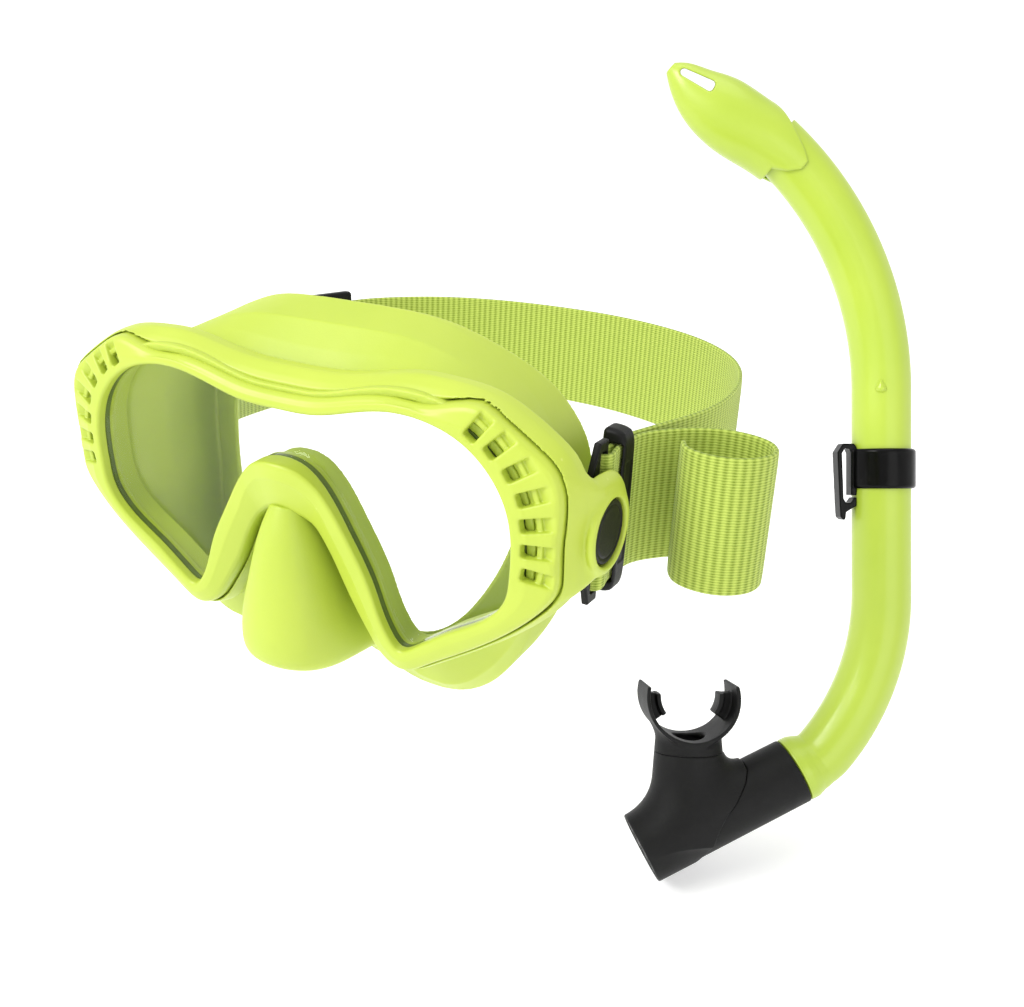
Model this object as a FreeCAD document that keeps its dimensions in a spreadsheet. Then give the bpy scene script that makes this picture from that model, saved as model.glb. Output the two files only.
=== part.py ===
"""Dive mask with head strap, and its snorkel, as named sub-parts (millimetres).

Frame: X to the wearer's left, Y from the lens towards the head, Z up.
The origin is the centre of the face opening, where the mask meets the face.
Mask shapes are drawn with y = 0 at the front of the lens and then moved.
Snorkel shapes are drawn upright in their own XZ plane and then moved.
"""
import os

import FreeCAD
import Part
import Sketcher
from math import atan2, cos, degrees, hypot, pi, radians, sin

V = FreeCAD.Vector
Placement = FreeCAD.Placement
Rotation = FreeCAD.Rotation

os.makedirs("parts", exist_ok=True)
doc = FreeCAD.newDocument("mask_and_snorkel")

# ---------------------------------------------------------------- sizes
SIZES = {
    # mask
    "seal_depth": 45,        # lens front to face opening centre
    "glass_thick": 4,
    "glass_lap": 3,          # glass hidden behind the bezel lip
    "collar_thick": 2.5,     # silicone collar around the glass edge
    "wall_thick": 2,
    "bezel_front": 3.2,
    "bezel_depth": 4,
    "arch_front": 7.2,
    "ring_depth": 10,
    "vent_long": 8.6,
    "vent_wide": 3.6,
    "ear_face": 88,
    "ear_thick": 3.5,
    "ear_length": 30,
    "ear_low": -17,
    "ear_high": 13,
    "pivot_depth": 17,
    "pivot_height": -4,
    # strap
    "web_wide": 37.5,
    "web_thick": 1.7,
    "web_drop": -1.5,
    "web_droop": 4.5,
    "stem_dia": 6,
    "cap_dia": 17,
    "cap_thick": 1.6,
    "play": 0.4,
    "pin_play": 0.1,
    "yoke_thick": 2,
    "glide_tall": 46,
    "glide_thick": 7.2,
    "near_glide_wide": 8,
    "far_glide_wide": 20,
    # snorkel
    "tube_dia": 25.4,
    "tube_wall": 1.8,
    "straight_low": -51,
    "straight_high": 42,
    "top_bend": 154,
    "top_angle": 47,
    "low_bend": 110,
    "low_angle": 40,
    "end_bend": 22,
    "end_angle": 23,
    "collar_dia": 29.2,
    "collar_long": 8,
    "spigot_dia": 25,
    "spigot_long": 13,
    "sleeve_dia": 29.4,
    "sleeve_bore": 25.2,
    "elbow_dia": 32,
    "elbow_long": 78,
    "shield_round": 21,
    "shield_thick": 1.8,
    "shield_deep": 26,
    "seat_dia": 28,
    "flap_dia": 23,
    "flap_thick": 0.8,
    "keeper_tall": 18,
    "keeper_wall": 1.6,
    "snorkel_turn": 34,
    "snorkel_lean": -24,
    "snorkel_roll": 1.5,
}

sheet = doc.addObject("Spreadsheet::Sheet", "Sizes")
for row, (name, value) in enumerate(SIZES.items(), start=1):
    sheet.set(f"A{row}", name)
    sheet.set(f"B{row}", str(value))
    sheet.setAlias(f"B{row}", name)
doc.recompute()


def size(name):
    return float(sheet.get(name))


# ------------------------------------------------------------- outlines
# Half outlines in the XZ plane from the top centre, down the wearer's left
# side and back to the centre over the nose.
OPENING = [
    (0, 18.6), (12, 19.0), (24, 21.8), (36, 24.2), (47, 23.6), (57, 20.0),
    (64.5, 13.5), (69, 5.5), (70.6, -3.5), (70.4, -12), (69.3, -19),
    (66, -24.3), (52, -34.5), (41.5, -42.2), (37, -44.2), (33.8, -41.2),
    (28, -27.5), (20.5, -13.3), (13.5, -2.5), (7, 2.8), (0, 4.2)]
BEZEL_EDGE = [
    (0, 22.8), (12, 23.3), (24, 25.9), (36, 27.6), (46, 27.5), (53, 29.0),
    (60, 29.6), (67, 26.3), (75, 21), (80.5, 16.2), (82.6, 11), (82.6, 0),
    (82.4, -8), (82, -15), (78, -21.5), (70, -29.5), (56.5, -39.8),
    (44, -48.2), (37, -51.6), (31.8, -50), (26, -43.5), (18.7, -31.7),
    (12.5, -19.5), (7, -13.2), (0, -10.9)]
RING_EDGE = [
    (0, 28), (14, 28.4), (27, 30.4), (38, 32.3), (47, 32.4), (55, 31.8),
    (62, 30.4), (69.5, 27), (77.5, 21.8), (82.8, 16.6), (84.8, 11),
    (84.8, 0), (84.6, -8.5), (84.2, -16), (79.8, -23.3), (71.5, -31.6),
    (57.8, -42), (45, -50.6), (37, -54), (30.3, -52), (24.3, -44.6),
    (17, -32.4), (11, -20.8), (6, -15), (0, -12.9)]
FLANGE = [
    (0, 39.5), (13, 39.3), (26, 38), (38, 34.2), (48, 29), (57, 22),
    (63.5, 13.5), (67.5, 4.5), (69, -5), (68.6, -15), (66.8, -25),
    (65.5, -38), (60.5, -52), (52, -63.5), (42, -69.6), (32, -71),
    (23, -69.8), (16, -66.8), (10, -64.8), (5, -63.5), (0, -63)]
FACE_HOLE = [
    (0, 27), (15, 27), (30, 24), (42, 17.5), (49.5, 8), (52, -4),
    (51.5, -18), (48, -32), (42, -44), (35, -52.5), (27, -56.5),
    (16, -55), (0, -52.5)]
# Depth of the face surface at a given distance from the centre.
FACE_CURVE = [(0, 34), (23, 35.5), (34, 38), (46, 41.5), (55, 45.5),
              (62, 49), (69, 53), (80, 61)]
FACE_SHEAR = 0.1             # the face surface leans forward below the eyes
VENTS = [(61.3, 25.2), (67, 21.6), (72.4, 16.2), (76.1, 9.9), (77.3, 2.9),
         (77.7, -4.3), (77.8, -11.3)]
# Nose pocket slices: height at the front, half width, front depth.
NOSE = [(-9, 5, -5), (-15, 8, -8), (-30, 13, -12.4), (-46, 16.4, -15.6),
        (-54, 15.6, -14.6), (-57.5, 12, -10)]
NOSE_BACK = 20
NOSE_SLOPE = -0.16

# Strap path seen from above, measured from the strap pivots.
BAR_X = 81.05
BAR_Y = 8.5
LOOP = 2.1
LAYER = 1.15
MAIN_NEAR = [(81, 14), (79.9, 22), (81.2, 32), (84.5, 43), (88, 56),
             (89.8, 70), (89, 86), (85.5, 103), (79.5, 119), (69.5, 134.5),
             (55.5, 148), (36, 159), (14, 165.5)]
MAIN_FAR = [(-10, 167), (-36, 163.5), (-56, 155), (-70, 143),
            (-78.8, 130), (-81.3, 122.5), (-83.8, 115), (-86.3, 107.5),
            (-88.6, 100), (-90.8, 86), (-91.2, 70), (-89.2, 53),
            (-85, 37), (-81.2, 26)]
TAIL = [(83.6, 31), (86.8, 36), (92, 41.5), (99, 45.4), (107, 45.4),
        (113.6, 41.6), (116.6, 35), (115, 28), (109.6, 23.2),
        (102.6, 22.4), (96.8, 25.2), (94, 30)]
FAR_END = 108                # the doubled far layer stops here


def mirrored(half):
    """Whole outline from a half outline that starts and ends at x = 0."""
    return list(half) + [(-x, z) for x, z in reversed(half[1:-1])]


def grown(points, by):
    """The closed outline moved outwards (clockwise list of points)."""
    out = []
    count = len(points)
    for i in range(count):
        ax, az = points[i - 1]
        bx, bz = points[(i + 1) % count]
        length = hypot(bx - ax, bz - az)
        x, z = points[i]
        nx = -(bz - az) / length
        nz = (bx - ax) / length
        out.append((x + nx * by, z + nz * by))
    return out


def blended(first, second, high_share, low_share):
    """Outline part way to the second one, further along at the cheeks."""
    out = []
    for a, b in zip(first, second):
        drop = min(max((-15 - b[1]) / 35, 0), 1)
        share = high_share + (low_share - high_share) * drop
        out.append((a[0] + (b[0] - a[0]) * share,
                    a[1] + (b[1] - a[1]) * share))
    return out


def curve_pieces(curve, count):
    """The curve as a run of short edges, which booleans handle better."""
    first = curve.FirstParameter
    step = (curve.LastParameter - first) / count
    return [curve.toShape(first + step * i, first + step * (i + 1))
            for i in range(count)]


def outline_wire(points, depth):
    curve = Part.BSplineCurve()
    curve.interpolate([V(x, depth, z) for x, z in points], PeriodicFlag=True)
    return Part.Wire(curve_pieces(curve, 8))


def slab(points, front, back):
    """Closed outline pushed straight from the front depth to the back."""
    face = Part.Face(outline_wire(points, front))
    return face.extrude(V(0, back - front, 0))


def stack(sections):
    """Solid through outlines given as (points, depth)."""
    wires = [outline_wire(points, depth) for points, depth in sections]
    return Part.makeLoft(wires, True, True)


def box(x0, x1, y0, y1, z0, z1):
    return Part.makeBox(x1 - x0, y1 - y0, z1 - z0, V(x0, y0, z0))


def both_sides(shape):
    return shape.fuse(shape.mirror(V(0, 0, 0), V(1, 0, 0)))


def rounded_bar(long, wide, high):
    """Upright slug with round ends, long along X, centred on the origin."""
    core = box(-long / 2 + wide / 2, long / 2 - wide / 2,
               -wide / 2, wide / 2, 0, high)
    for side in (-1, 1):
        end = Part.makeCylinder(wide / 2, high,
                                V(side * (long - wide) / 2, 0, 0))
        core = core.fuse(end)
    return core.removeSplitter()


opening = mirrored(OPENING)
bezel_edge = mirrored(BEZEL_EDGE)
ring_edge = mirrored(RING_EDGE)
flange = mirrored(FLANGE)
glass_edge = grown(opening, size("glass_lap"))
collar_edge = grown(glass_edge, size("collar_thick"))
collar_seat = grown(collar_edge, 0.1)

# ----------------------------------------------------------- placements
AT_MASK = Placement(V(0, -size("seal_depth"), 0), Rotation())
AT_STRAP = AT_MASK.multiply(Placement(
    V(0, size("pivot_depth"), size("pivot_height")),
    Rotation(V(1, 0, 0), -size("web_droop"))))
SNORKEL_SPOT = V(102.9, 248.6, -93.3)
AT_SNORKEL = Placement(
    SNORKEL_SPOT,
    Rotation(V(0, 0, 1), size("snorkel_turn"))
    .multiply(Rotation(V(1, 0, 0), size("snorkel_lean")))
    .multiply(Rotation(V(0, 1, 0), size("snorkel_roll"))))


def arc_spot(centre_x, centre_z, bend, angle):
    return (centre_x + bend * cos(radians(angle)),
            centre_z + bend * sin(radians(angle)))


def tube_marks():
    """Corners of the snorkel centre line, down to the collar's end."""
    top_start = (0.0, size("straight_high"))
    top_end = arc_spot(-size("top_bend"), top_start[1], size("top_bend"),
                       size("top_angle"))
    low_start = (0.0, size("straight_low"))
    low_end = arc_spot(-size("low_bend"), low_start[1], size("low_bend"),
                       -size("low_angle"))
    turn = radians(size("low_angle"))
    centre = (low_end[0] - size("end_bend") * cos(turn),
              low_end[1] + size("end_bend") * sin(turn))
    angle = size("low_angle") + size("end_angle")
    bend_end = arc_spot(centre[0], centre[1], size("end_bend"), -angle)
    long = size("collar_long")
    last = (bend_end[0] - long * sin(radians(angle)),
            bend_end[1] - long * cos(radians(angle)))
    return top_start, top_end, low_start, low_end, centre, last


MARKS = tube_marks()
LOWER_END = MARKS[5]
LOWER_TILT = -(180 - size("low_angle") - size("end_angle"))
IN_SNORKEL_LOWER = Placement(V(LOWER_END[0], 0, LOWER_END[1]),
                             Rotation(V(0, 1, 0), LOWER_TILT))
AT_LOWER = AT_SNORKEL.multiply(IN_SNORKEL_LOWER)
MOUTH = V(-87.7, 0, -96.4)
made = []


def add_shape(name, shape, where):
    """Keep a finished shape as its own sub-part."""
    part = doc.addObject("Part::Feature", name)
    part.Label = name
    part.Shape = shape
    part.Placement = where
    made.append(part)
    return part


def add_body(name, where):
    body = doc.addObject("PartDesign::Body", name)
    body.Label = name
    body.Placement = where
    made.append(body)
    return body


def plane_of(body, role):
    for feature in body.Origin.OriginFeatures:
        if feature.Role == role:
            return feature
    raise ValueError(role)


def circle_sketch(body, name, role, circles):
    """Sketch of circles given as (x, y, size expression or number)."""
    sketch = body.newObject("Sketcher::SketchObject", name)
    sketch.AttachmentSupport = (plane_of(body, role), "")
    sketch.MapMode = "FlatFace"
    for x, y, dia in circles:
        number = sketch.addGeometry(
            Part.Circle(V(x, y, 0), V(0, 0, 1), 1.0), False)
        index = sketch.addConstraint(
            Sketcher.Constraint("Diameter", number, 2.0))
        sketch.setExpression(f"Constraints[{index}]", str(dia))
    return sketch


def lines_sketch(body, name, role, loops):
    """Sketch of closed straight-sided loops."""
    sketch = body.newObject("Sketcher::SketchObject", name)
    sketch.AttachmentSupport = (plane_of(body, role), "")
    sketch.MapMode = "FlatFace"
    for loop in loops:
        for i, (x, y) in enumerate(loop):
            nx, ny = loop[(i + 1) % len(loop)]
            sketch.addGeometry(
                Part.LineSegment(V(x, y, 0), V(nx, ny, 0)), False)
    return sketch


def pad(body, sketch, name, length, reverse=False, middle=False):
    feature = body.newObject("PartDesign::Pad", name)
    feature.Profile = sketch
    feature.setExpression("Length", str(length))
    feature.Reversed = reverse
    feature.Midplane = middle
    sketch.Visibility = False
    return feature


def pocket(body, sketch, name, length, reverse=False, middle=False):
    feature = body.newObject("PartDesign::Pocket", name)
    feature.Profile = sketch
    feature.setExpression("Length", str(length))
    feature.Reversed = reverse
    feature.Midplane = middle
    sketch.Visibility = False
    return feature


# ------------------------------------------------------------ the mask
def lens_glass():
    shape = slab(glass_edge, 0, size("glass_thick"))
    add_shape("lens_glass", shape, AT_MASK)


def bezel_blank():
    """Bezel ring before the vents, with the arch standing forward."""
    front = -size("bezel_front")
    back = size("bezel_depth")
    low = stack([(grown(bezel_edge, -2.2), front), (bezel_edge, front + 2.4),
                 (bezel_edge, back)])
    arch_front = -size("arch_front")
    tall = stack([(grown(bezel_edge, -2.6), arch_front),
                  (bezel_edge, arch_front + 2.8), (bezel_edge, back)])
    profile = [V(-60, back, 0), V(-30, front, 0), V(-17, front - 0.6, 0),
               V(0, arch_front, 0), V(17, front - 0.6, 0), V(30, front, 0),
               V(60, back, 0)]
    curve = Part.BSplineCurve()
    curve.interpolate(profile[1:-1])
    edges = [curve.toShape(), Part.makeLine(profile[-2], profile[-1]),
             Part.makeLine(profile[-1], profile[0]),
             Part.makeLine(profile[0], profile[1])]
    wedge = Part.Face(Part.Wire(edges)).extrude(V(0, 0, 80))
    wedge.translate(V(0, 0, -68))
    return low.fuse(tall.common(wedge))


def front_bezel():
    shape = bezel_blank()
    shape = shape.cut(slab(opening, -12, 6))
    shape = shape.cut(slab(collar_seat, 0, 6))
    shape = shape.cut(nose_blank(0.4))
    for x, z in VENTS:
        angle = degrees(atan2(z + 4, x - 40))
        for side in (1, -1):
            vent = rounded_bar(size("vent_long"), size("vent_wide"), 6)
            vent.rotate(V(0, 0, 0), V(1, 0, 0), 90)
            vent.translate(V(0, 1.0, 0))
            vent.rotate(V(0, 0, 0), V(0, 1, 0),
                        -angle if side > 0 else angle - 180)
            vent.translate(V(side * x, 0, z))
            shape = shape.cut(vent)
    add_shape("front_bezel", shape, AT_MASK)


def ear():
    """Side lug of the back frame that carries the strap pivot."""
    face = size("ear_face")
    inner = face - size("ear_thick")
    back = size("ear_length")
    ring = size("ring_depth")
    plan = [V(78.5, 4.2, 0), V(83, 4.2, 0), V(face, 11, 0),
            V(face, back, 0), V(inner, back, 0), V(inner, ring, 0),
            V(78.5, ring, 0)]
    low = size("ear_low")
    high = size("ear_high")
    body = Part.Face(Part.makePolygon(plan + plan[:1]))
    body = body.extrude(V(0, 0, high - low))
    body.translate(V(0, 0, low))
    middle = (low + high) / 2
    half = (high - low) / 2
    side = Part.makeCylinder(half, 30, V(70, back - half, middle),
                             V(1, 0, 0))
    side = side.fuse(box(70, 100, 0, back - half, low, high))
    body = body.common(side)
    depth = size("pivot_depth")
    height = size("pivot_height")
    hub = Part.makeCylinder(5.2, 2.2, V(inner - 1.9, depth, height),
                            V(1, 0, 0))
    body = body.fuse(hub)
    bore = Part.makeCylinder(size("stem_dia") / 2 + size("pin_play"), 20,
                             V(75, depth, height), V(1, 0, 0))
    seat = Part.makeCylinder(size("cap_dia") / 2 + size("play"), 5,
                             V(face - 1.9, depth, height), V(1, 0, 0))
    return body.cut(bore).cut(seat)


def back_frame():
    ring_back = size("ring_depth")
    shape = stack([(grown(bezel_edge, 0.2), 0.4), (ring_edge, 7),
                   (ring_edge, ring_back)])
    hole = slab(collar_seat, -1, ring_back + 1)
    bezel_room = slab(grown(bezel_edge, 0.1), -1, size("bezel_depth") + 0.1)
    shape = shape.cut(hole)
    shape = shape.cut(bezel_room.cut(slab(bezel_edge, -2, -1.5)))
    shape = shape.fuse(both_sides(ear()))
    shape = shape.cut(nose_blank(0.4))
    add_shape("back_frame", shape, AT_MASK)


def nose_wire(height, half, front, gap):
    """Upright-sided slice of the nose pocket on a sloping plane."""
    half = half + gap
    front = front - gap
    plan = [(half, NOSE_BACK), (half, 6), (half * 0.97, front + half * 0.9),
            (half * 0.72, front + half * 0.3), (0, front),
            (-half * 0.72, front + half * 0.3),
            (-half * 0.97, front + half * 0.9), (-half, 6),
            (-half, NOSE_BACK)]
    points = [V(x, y, height + NOSE_SLOPE * (y - front)) for x, y in plan]
    curve = Part.BSplineCurve()
    curve.interpolate(points)
    return Part.Wire([curve.toShape(),
                      Part.makeLine(points[-1], points[0])])


def nose_blank(gap):
    wires = [nose_wire(z, half, front, gap) for z, half, front in NOSE]
    if gap > 0:
        z, half, front = NOSE[0]
        wires[0] = nose_wire(z + gap, half, front, gap)
    if gap < 0:
        z, half, front = NOSE[0]
        wires[0] = nose_wire(z + gap, half, front, gap)
        z, half, front = NOSE[-1]
        wires[-1] = nose_wire(z - gap, half, front, gap)
    return Part.makeLoft(wires, True, True)


def behind_face(offset):
    """Everything behind the face surface, moved by the offset."""
    base = -100.0
    shift = FACE_SHEAR * (base - 30) + offset
    half = [(x, y + shift) for x, y in FACE_CURVE]
    whole = [(-x, y) for x, y in reversed(half[1:])] + half
    curve = Part.BSplineCurve()
    curve.interpolate([V(x, y, base) for x, y in whole])
    first = V(whole[0][0], whole[0][1], base)
    last = V(whole[-1][0], whole[-1][1], base)
    wire = Part.Wire([curve.toShape(), Part.makeLine(last, V(80, 95, base)),
                      Part.makeLine(V(80, 95, base), V(-80, 95, base)),
                      Part.makeLine(V(-80, 95, base), first)])
    return Part.Face(wire).extrude(V(0, 160 * FACE_SHEAR, 160))


def silicone_skirt():
    ring_back = size("ring_depth") + 0.2
    wall = size("wall_thick")
    near = blended(collar_edge, flange, 0.42, 0.75)
    far = blended(collar_edge, flange, 0.78, 1.0)
    outer = stack([(collar_edge, 0), (collar_edge, ring_back), (near, 16),
                   (far, 22), (flange, 34), (flange, 64)])
    outer = outer.fuse(nose_blank(0))
    outer = outer.cut(behind_face(0))
    ledge = grown(glass_edge, -1.6)
    rim = grown(flange, -wall)
    inner = stack([(ledge, -1), (ledge, ring_back),
                   (grown(near, -wall), 17.5), (grown(far, -wall), 23.5),
                   (rim, 35), (rim, 64)])
    inner = inner.fuse(nose_blank(-wall))
    inner = inner.cut(behind_face(-wall))
    shape = outer.cut(inner)
    shape = shape.cut(slab(grown(glass_edge, 0.05), -1,
                           size("glass_thick") + 0.05))
    hole = slab(mirrored(FACE_HOLE), 15, 80)
    shape = shape.cut(hole.common(behind_face(-wall - 1.5)))
    add_shape("silicone_skirt", shape, AT_MASK)


# ----------------------------------------------------------- the strap
def pivot_cap(side_name, side):
    """Round button with the pin the yoke turns on."""
    turn = Rotation(V(0, 1, 0), 90 * side)
    where = AT_STRAP.multiply(Placement(V(side * 79.95, 0, 0), turn))
    body = add_body(f"pivot_cap_{side_name}", where)
    pin = circle_sketch(body, "Pin_" + side_name, "XY_Plane",
                        [(0, 0, "Sizes.stem_dia")])
    pad(body, pin, "PinPad_" + side_name, "Sizes.ear_face - 79.95 - 0.4")
    disc = circle_sketch(body, "Disc_" + side_name, "XY_Plane",
                         [(0, 0, "Sizes.cap_dia")])
    disc.AttachmentOffset = Placement(V(0, 0, 88 - 79.95 - 1.7), Rotation())
    pad(body, disc, "DiscPad_" + side_name, "Sizes.cap_thick")
    return body


def strap_yoke(side_name, side):
    """Flat swivel plate with a bar for the webbing."""
    top = size("web_wide") / 2 + size("web_drop")
    low = -size("web_wide") / 2 + size("web_drop")
    back = BAR_Y + 1
    turn = Rotation(V(0, 1, 0), V(0, 0, 1), V(1, 0, 0), "ZXY")
    where = AT_STRAP.multiply(Placement(V(side * BAR_X, 0, 0), turn))
    body = add_body(f"strap_yoke_{side_name}", where)
    plate = lines_sketch(
        body, "Plate_" + side_name, "XY_Plane",
        [[(-2, 6), (4.2, top + 3.4), (back, top + 3.4), (back, low - 3.4),
          (4.2, low - 3.4), (-2, -6), (-6, -3), (-6, 3)]])
    pad(body, plate, "PlatePad_" + side_name, "Sizes.yoke_thick",
        middle=True)
    slot = lines_sketch(
        body, "Slot_" + side_name, "XY_Plane",
        [[(BAR_Y - 3.5, top + 0.5), (BAR_Y - 0.4, top + 0.5),
          (BAR_Y - 0.4, low - 0.5), (BAR_Y - 3.5, low - 0.5)]])
    pocket(body, slot, "SlotCut_" + side_name, "20", middle=True)
    eye = circle_sketch(body, "Eye_" + side_name, "XY_Plane",
                        [(0, 0, "Sizes.stem_dia + 0.1")])
    pocket(body, eye, "EyeCut_" + side_name, "20", middle=True)
    return body


def ribbon(path, thick, low, high):
    """Webbing standing on edge along a path seen from above."""
    left = []
    right = []
    for i, (x, y) in enumerate(path):
        ax, ay = path[max(i - 1, 0)]
        bx, by = path[min(i + 1, len(path) - 1)]
        length = hypot(bx - ax, by - ay)
        nx = -(by - ay) / length * thick / 2
        ny = (bx - ax) / length * thick / 2
        left.append(V(x + nx, y + ny, low))
        right.append(V(x - nx, y - ny, low))
    edges = []
    for points in (left, right[::-1]):
        curve = Part.BSplineCurve()
        curve.interpolate(points)
        edges += curve_pieces(curve, 24)
        other = right[-1] if points is left else left[0]
        edges.append(Part.makeLine(points[-1], other))
    return Part.Face(Part.Wire(edges)).extrude(V(0, 0, high - low))


def bar_turn(side):
    """Half turn of the webbing around the yoke bar."""
    points = []
    for step in range(9):
        angle = pi + pi * step / 8
        points.append((side * (BAR_X - LOOP * cos(angle - pi)),
                       BAR_Y + LOOP * sin(angle)))
    return points


def strap_path():
    """One run of webbing: rolled tail, near side, back, far side."""
    roll = TAIL[::-1]
    near_outer = [(BAR_X + LAYER, 26), (BAR_X + LAYER, 20),
                  (BAR_X + LAYER, 14.5), (BAR_X + 1.8, 11)]
    near_turn = bar_turn(1)[::-1]
    near_inner = [(BAR_X - 1.8, 11), (BAR_X - LAYER, 14.5),
                  (BAR_X - LAYER, 20), (BAR_X - LAYER, 26)]
    far_inner = [(-BAR_X + LAYER, 20), (-BAR_X + LAYER, 15),
                 (-BAR_X + 1.8, 11)]
    far_turn = bar_turn(-1)
    far_outer = [(-BAR_X - 1.8, 11), (-BAR_X - LAYER, 15)]
    doubled = []
    run = MAIN_FAR[::-1]
    for i, (x, y) in enumerate(run):
        if y > FAR_END + 14:
            break
        ax, ay = run[max(i - 1, 0)]
        bx, by = run[i + 1]
        length = hypot(bx - ax, by - ay)
        doubled.append((x - (by - ay) / length * 2 * LAYER,
                        y + (bx - ax) / length * 2 * LAYER))
    return (roll + near_outer + near_turn + near_inner + MAIN_NEAR[2:]
            + MAIN_FAR + far_inner + far_turn + far_outer + doubled)


def head_strap():
    low = -size("web_wide") / 2 + size("web_drop")
    high = size("web_wide") / 2 + size("web_drop")
    shape = ribbon(strap_path(), size("web_thick"), low, high)
    add_shape("head_strap", shape, AT_STRAP)


def strap_slider(side_name, where, wide):
    """Strap glide: outer plate, inner bar and two ends around the webbing."""
    body = add_body(f"slider_{side_name}", where)
    tall = size("glide_tall") / 2
    thick = size("glide_thick") / 2
    blank = lines_sketch(
        body, "Glide_" + side_name, "XZ_Plane",
        [[(-thick + 1.5, -tall), (thick - 1, -tall), (thick, -tall + 2),
          (thick, tall - 2), (thick - 1, tall), (-thick + 1.5, tall),
          (-thick, tall - 4), (-thick, -tall + 4)]])
    pad(body, blank, "GlidePad_" + side_name, wide, middle=True)
    room = size("web_thick") + LAYER + 0.3
    half = size("web_wide") / 2 + 0.5
    window = lines_sketch(
        body, "Window_" + side_name, "XZ_Plane",
        [[(-room + 0.55, -half), (room - 0.55, -half),
          (room - 0.55, half), (-room + 0.55, half)]])
    pocket(body, window, "WindowCut_" + side_name, "60", middle=True)
    return body


def sliders():
    drop = size("web_drop")
    near = AT_STRAP.multiply(Placement(V(BAR_X, 18.5, drop), Rotation()))
    strap_slider("left", near, "Sizes.near_glide_wide")
    spot = MAIN_FAR[6]
    ahead = MAIN_FAR[5]
    behind = MAIN_FAR[7]
    turn = degrees(atan2(ahead[0] - behind[0], ahead[1] - behind[1]))
    nx = -cos(radians(turn))
    ny = sin(radians(turn))
    centre = V(spot[0] + nx * LAYER, spot[1] + ny * LAYER, drop)
    far = AT_STRAP.multiply(Placement(
        centre, Rotation(V(0, 0, 1), 180 - turn)))
    strap_slider("right", far, "Sizes.far_glide_wide")


# --------------------------------------------------------- the snorkel
def cross_section(x, z, turn, radius, bore):
    """Round or ring-shaped face across the snorkel line, turned about Y."""
    normal = V(sin(radians(turn)), 0, cos(radians(turn)))
    rim = Part.Wire(Part.makeCircle(radius, V(x, 0, z), normal))
    if not bore:
        return Part.Face(rim)
    hole = Part.Wire(Part.makeCircle(bore, V(x, 0, z), normal))
    return Part.Face(rim).cut(Part.Face(hole)).Faces[0]


def top_bend(radius, bore, angle):
    high = size("straight_high")
    section = cross_section(0, high, 0, radius, bore)
    return section.revolve(V(-size("top_bend"), 0, high), V(0, -1, 0),
                           angle)


def tube_pieces(radius, bore):
    """Bend, straight, bend and tight bend of the snorkel, end to end."""
    high = size("straight_high")
    low = size("straight_low")
    top = top_bend(radius, bore, size("top_angle"))
    section = cross_section(0, high, 0, radius, bore)
    middle = section.extrude(V(0, 0, low - high))
    section = cross_section(0, low, 0, radius, bore)
    bend = section.revolve(V(-size("low_bend"), 0, low), V(0, 1, 0),
                           size("low_angle"))
    x, z = MARKS[3]
    section = cross_section(x, z, size("low_angle"), radius, bore)
    centre = MARKS[4]
    end = section.revolve(V(centre[0], 0, centre[1]), V(0, 1, 0),
                          size("end_angle"))
    return [top, middle, bend, end]


def in_lower(shape):
    shape.Placement = IN_SNORKEL_LOWER.multiply(shape.Placement)
    return shape


def barrel_end(bore):
    """Collar that meets the sleeve, and the spigot that turns in it."""
    tube = size("tube_dia") / 2
    collar = size("collar_dia") / 2
    spigot = size("spigot_dia") / 2
    long = size("collar_long")
    tip = size("spigot_long")
    profile = [V(bore, 0, -long), V(tube, 0, -long),
               V(collar, 0, -long + 3.2), V(collar, 0, 0),
               V(spigot, 0, 0), V(spigot, 0, tip), V(bore, 0, tip)]
    face = Part.Face(Part.makePolygon(profile + profile[:1]))
    return in_lower(face.revolve(V(0, 0, 0), V(0, 0, 1), 360))


def barrel_tube():
    radius = size("tube_dia") / 2
    bore = radius - size("tube_wall")
    pieces = tube_pieces(radius, bore)
    nub = Part.makeCone(3.2, 1.2, 3, V(-4.3, -10.2, 41.5),
                        V(-0.386, -0.922, 0))
    shape = pieces[0].multiFuse(pieces[1:] + [barrel_end(bore), nub])
    add_shape("barrel_tube", shape.removeSplitter(), AT_SNORKEL)


# Splash guard slices: centre x, z, direction, half width, half depth.
GUARD = [(-38.2, 142.3, 49, 13.7, 13.7), (-49.1, 152.6, 46, 15.4, 14.2),
         (-61.5, 160.8, 40, 15.8, 13.8), (-74.2, 170, 36, 15.1, 12),
         (-85.4, 178.7, 40, 10.8, 8.2), (-92.9, 186.2, 42, 5.4, 4.8),
         (-95.5, 188.2, 42, 2.8, 2.6)]
SLOT_SPOT = V(-83.4, 0, 183.1)


def guard_loft(slices, inset):
    wires = []
    for x, z, angle, half, depth in slices:
        ellipse = Part.Ellipse(V(0, 0, 0), max(half, depth) - inset + 0.01,
                               min(half, depth) - inset)
        wire = Part.Wire(ellipse.toShape())
        wire.Placement = Placement(
            V(x, 0, z), Rotation(V(0, 1, 0), angle - 90))
        wires.append(wire)
    return Part.makeLoft(wires, True, False)


def splash_guard():
    outer = guard_loft(GUARD, 0)
    inner = guard_loft(GUARD[:-1], 1.9)
    shape = outer.cut(inner)
    radius = size("tube_dia") / 2 + 0.1
    shape = shape.cut(top_bend(radius, 0, size("top_angle") + 0.6))
    slot = rounded_bar(17, 4.2, 40)
    slot.translate(V(0, 0, -20))
    slot.rotate(V(0, 0, 0), V(1, 0, 0), 90)
    slot.rotate(V(0, 0, 0), V(0, 1, 0), 27)
    slot.rotate(V(0, 0, 0), V(1, 0, 0), 19)
    slot.rotate(V(0, 0, 0), V(0, 0, 1), -14)
    slot.translate(SLOT_SPOT)
    shape = shape.cut(slot)
    add_shape("splash_guard", shape, AT_SNORKEL)


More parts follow.
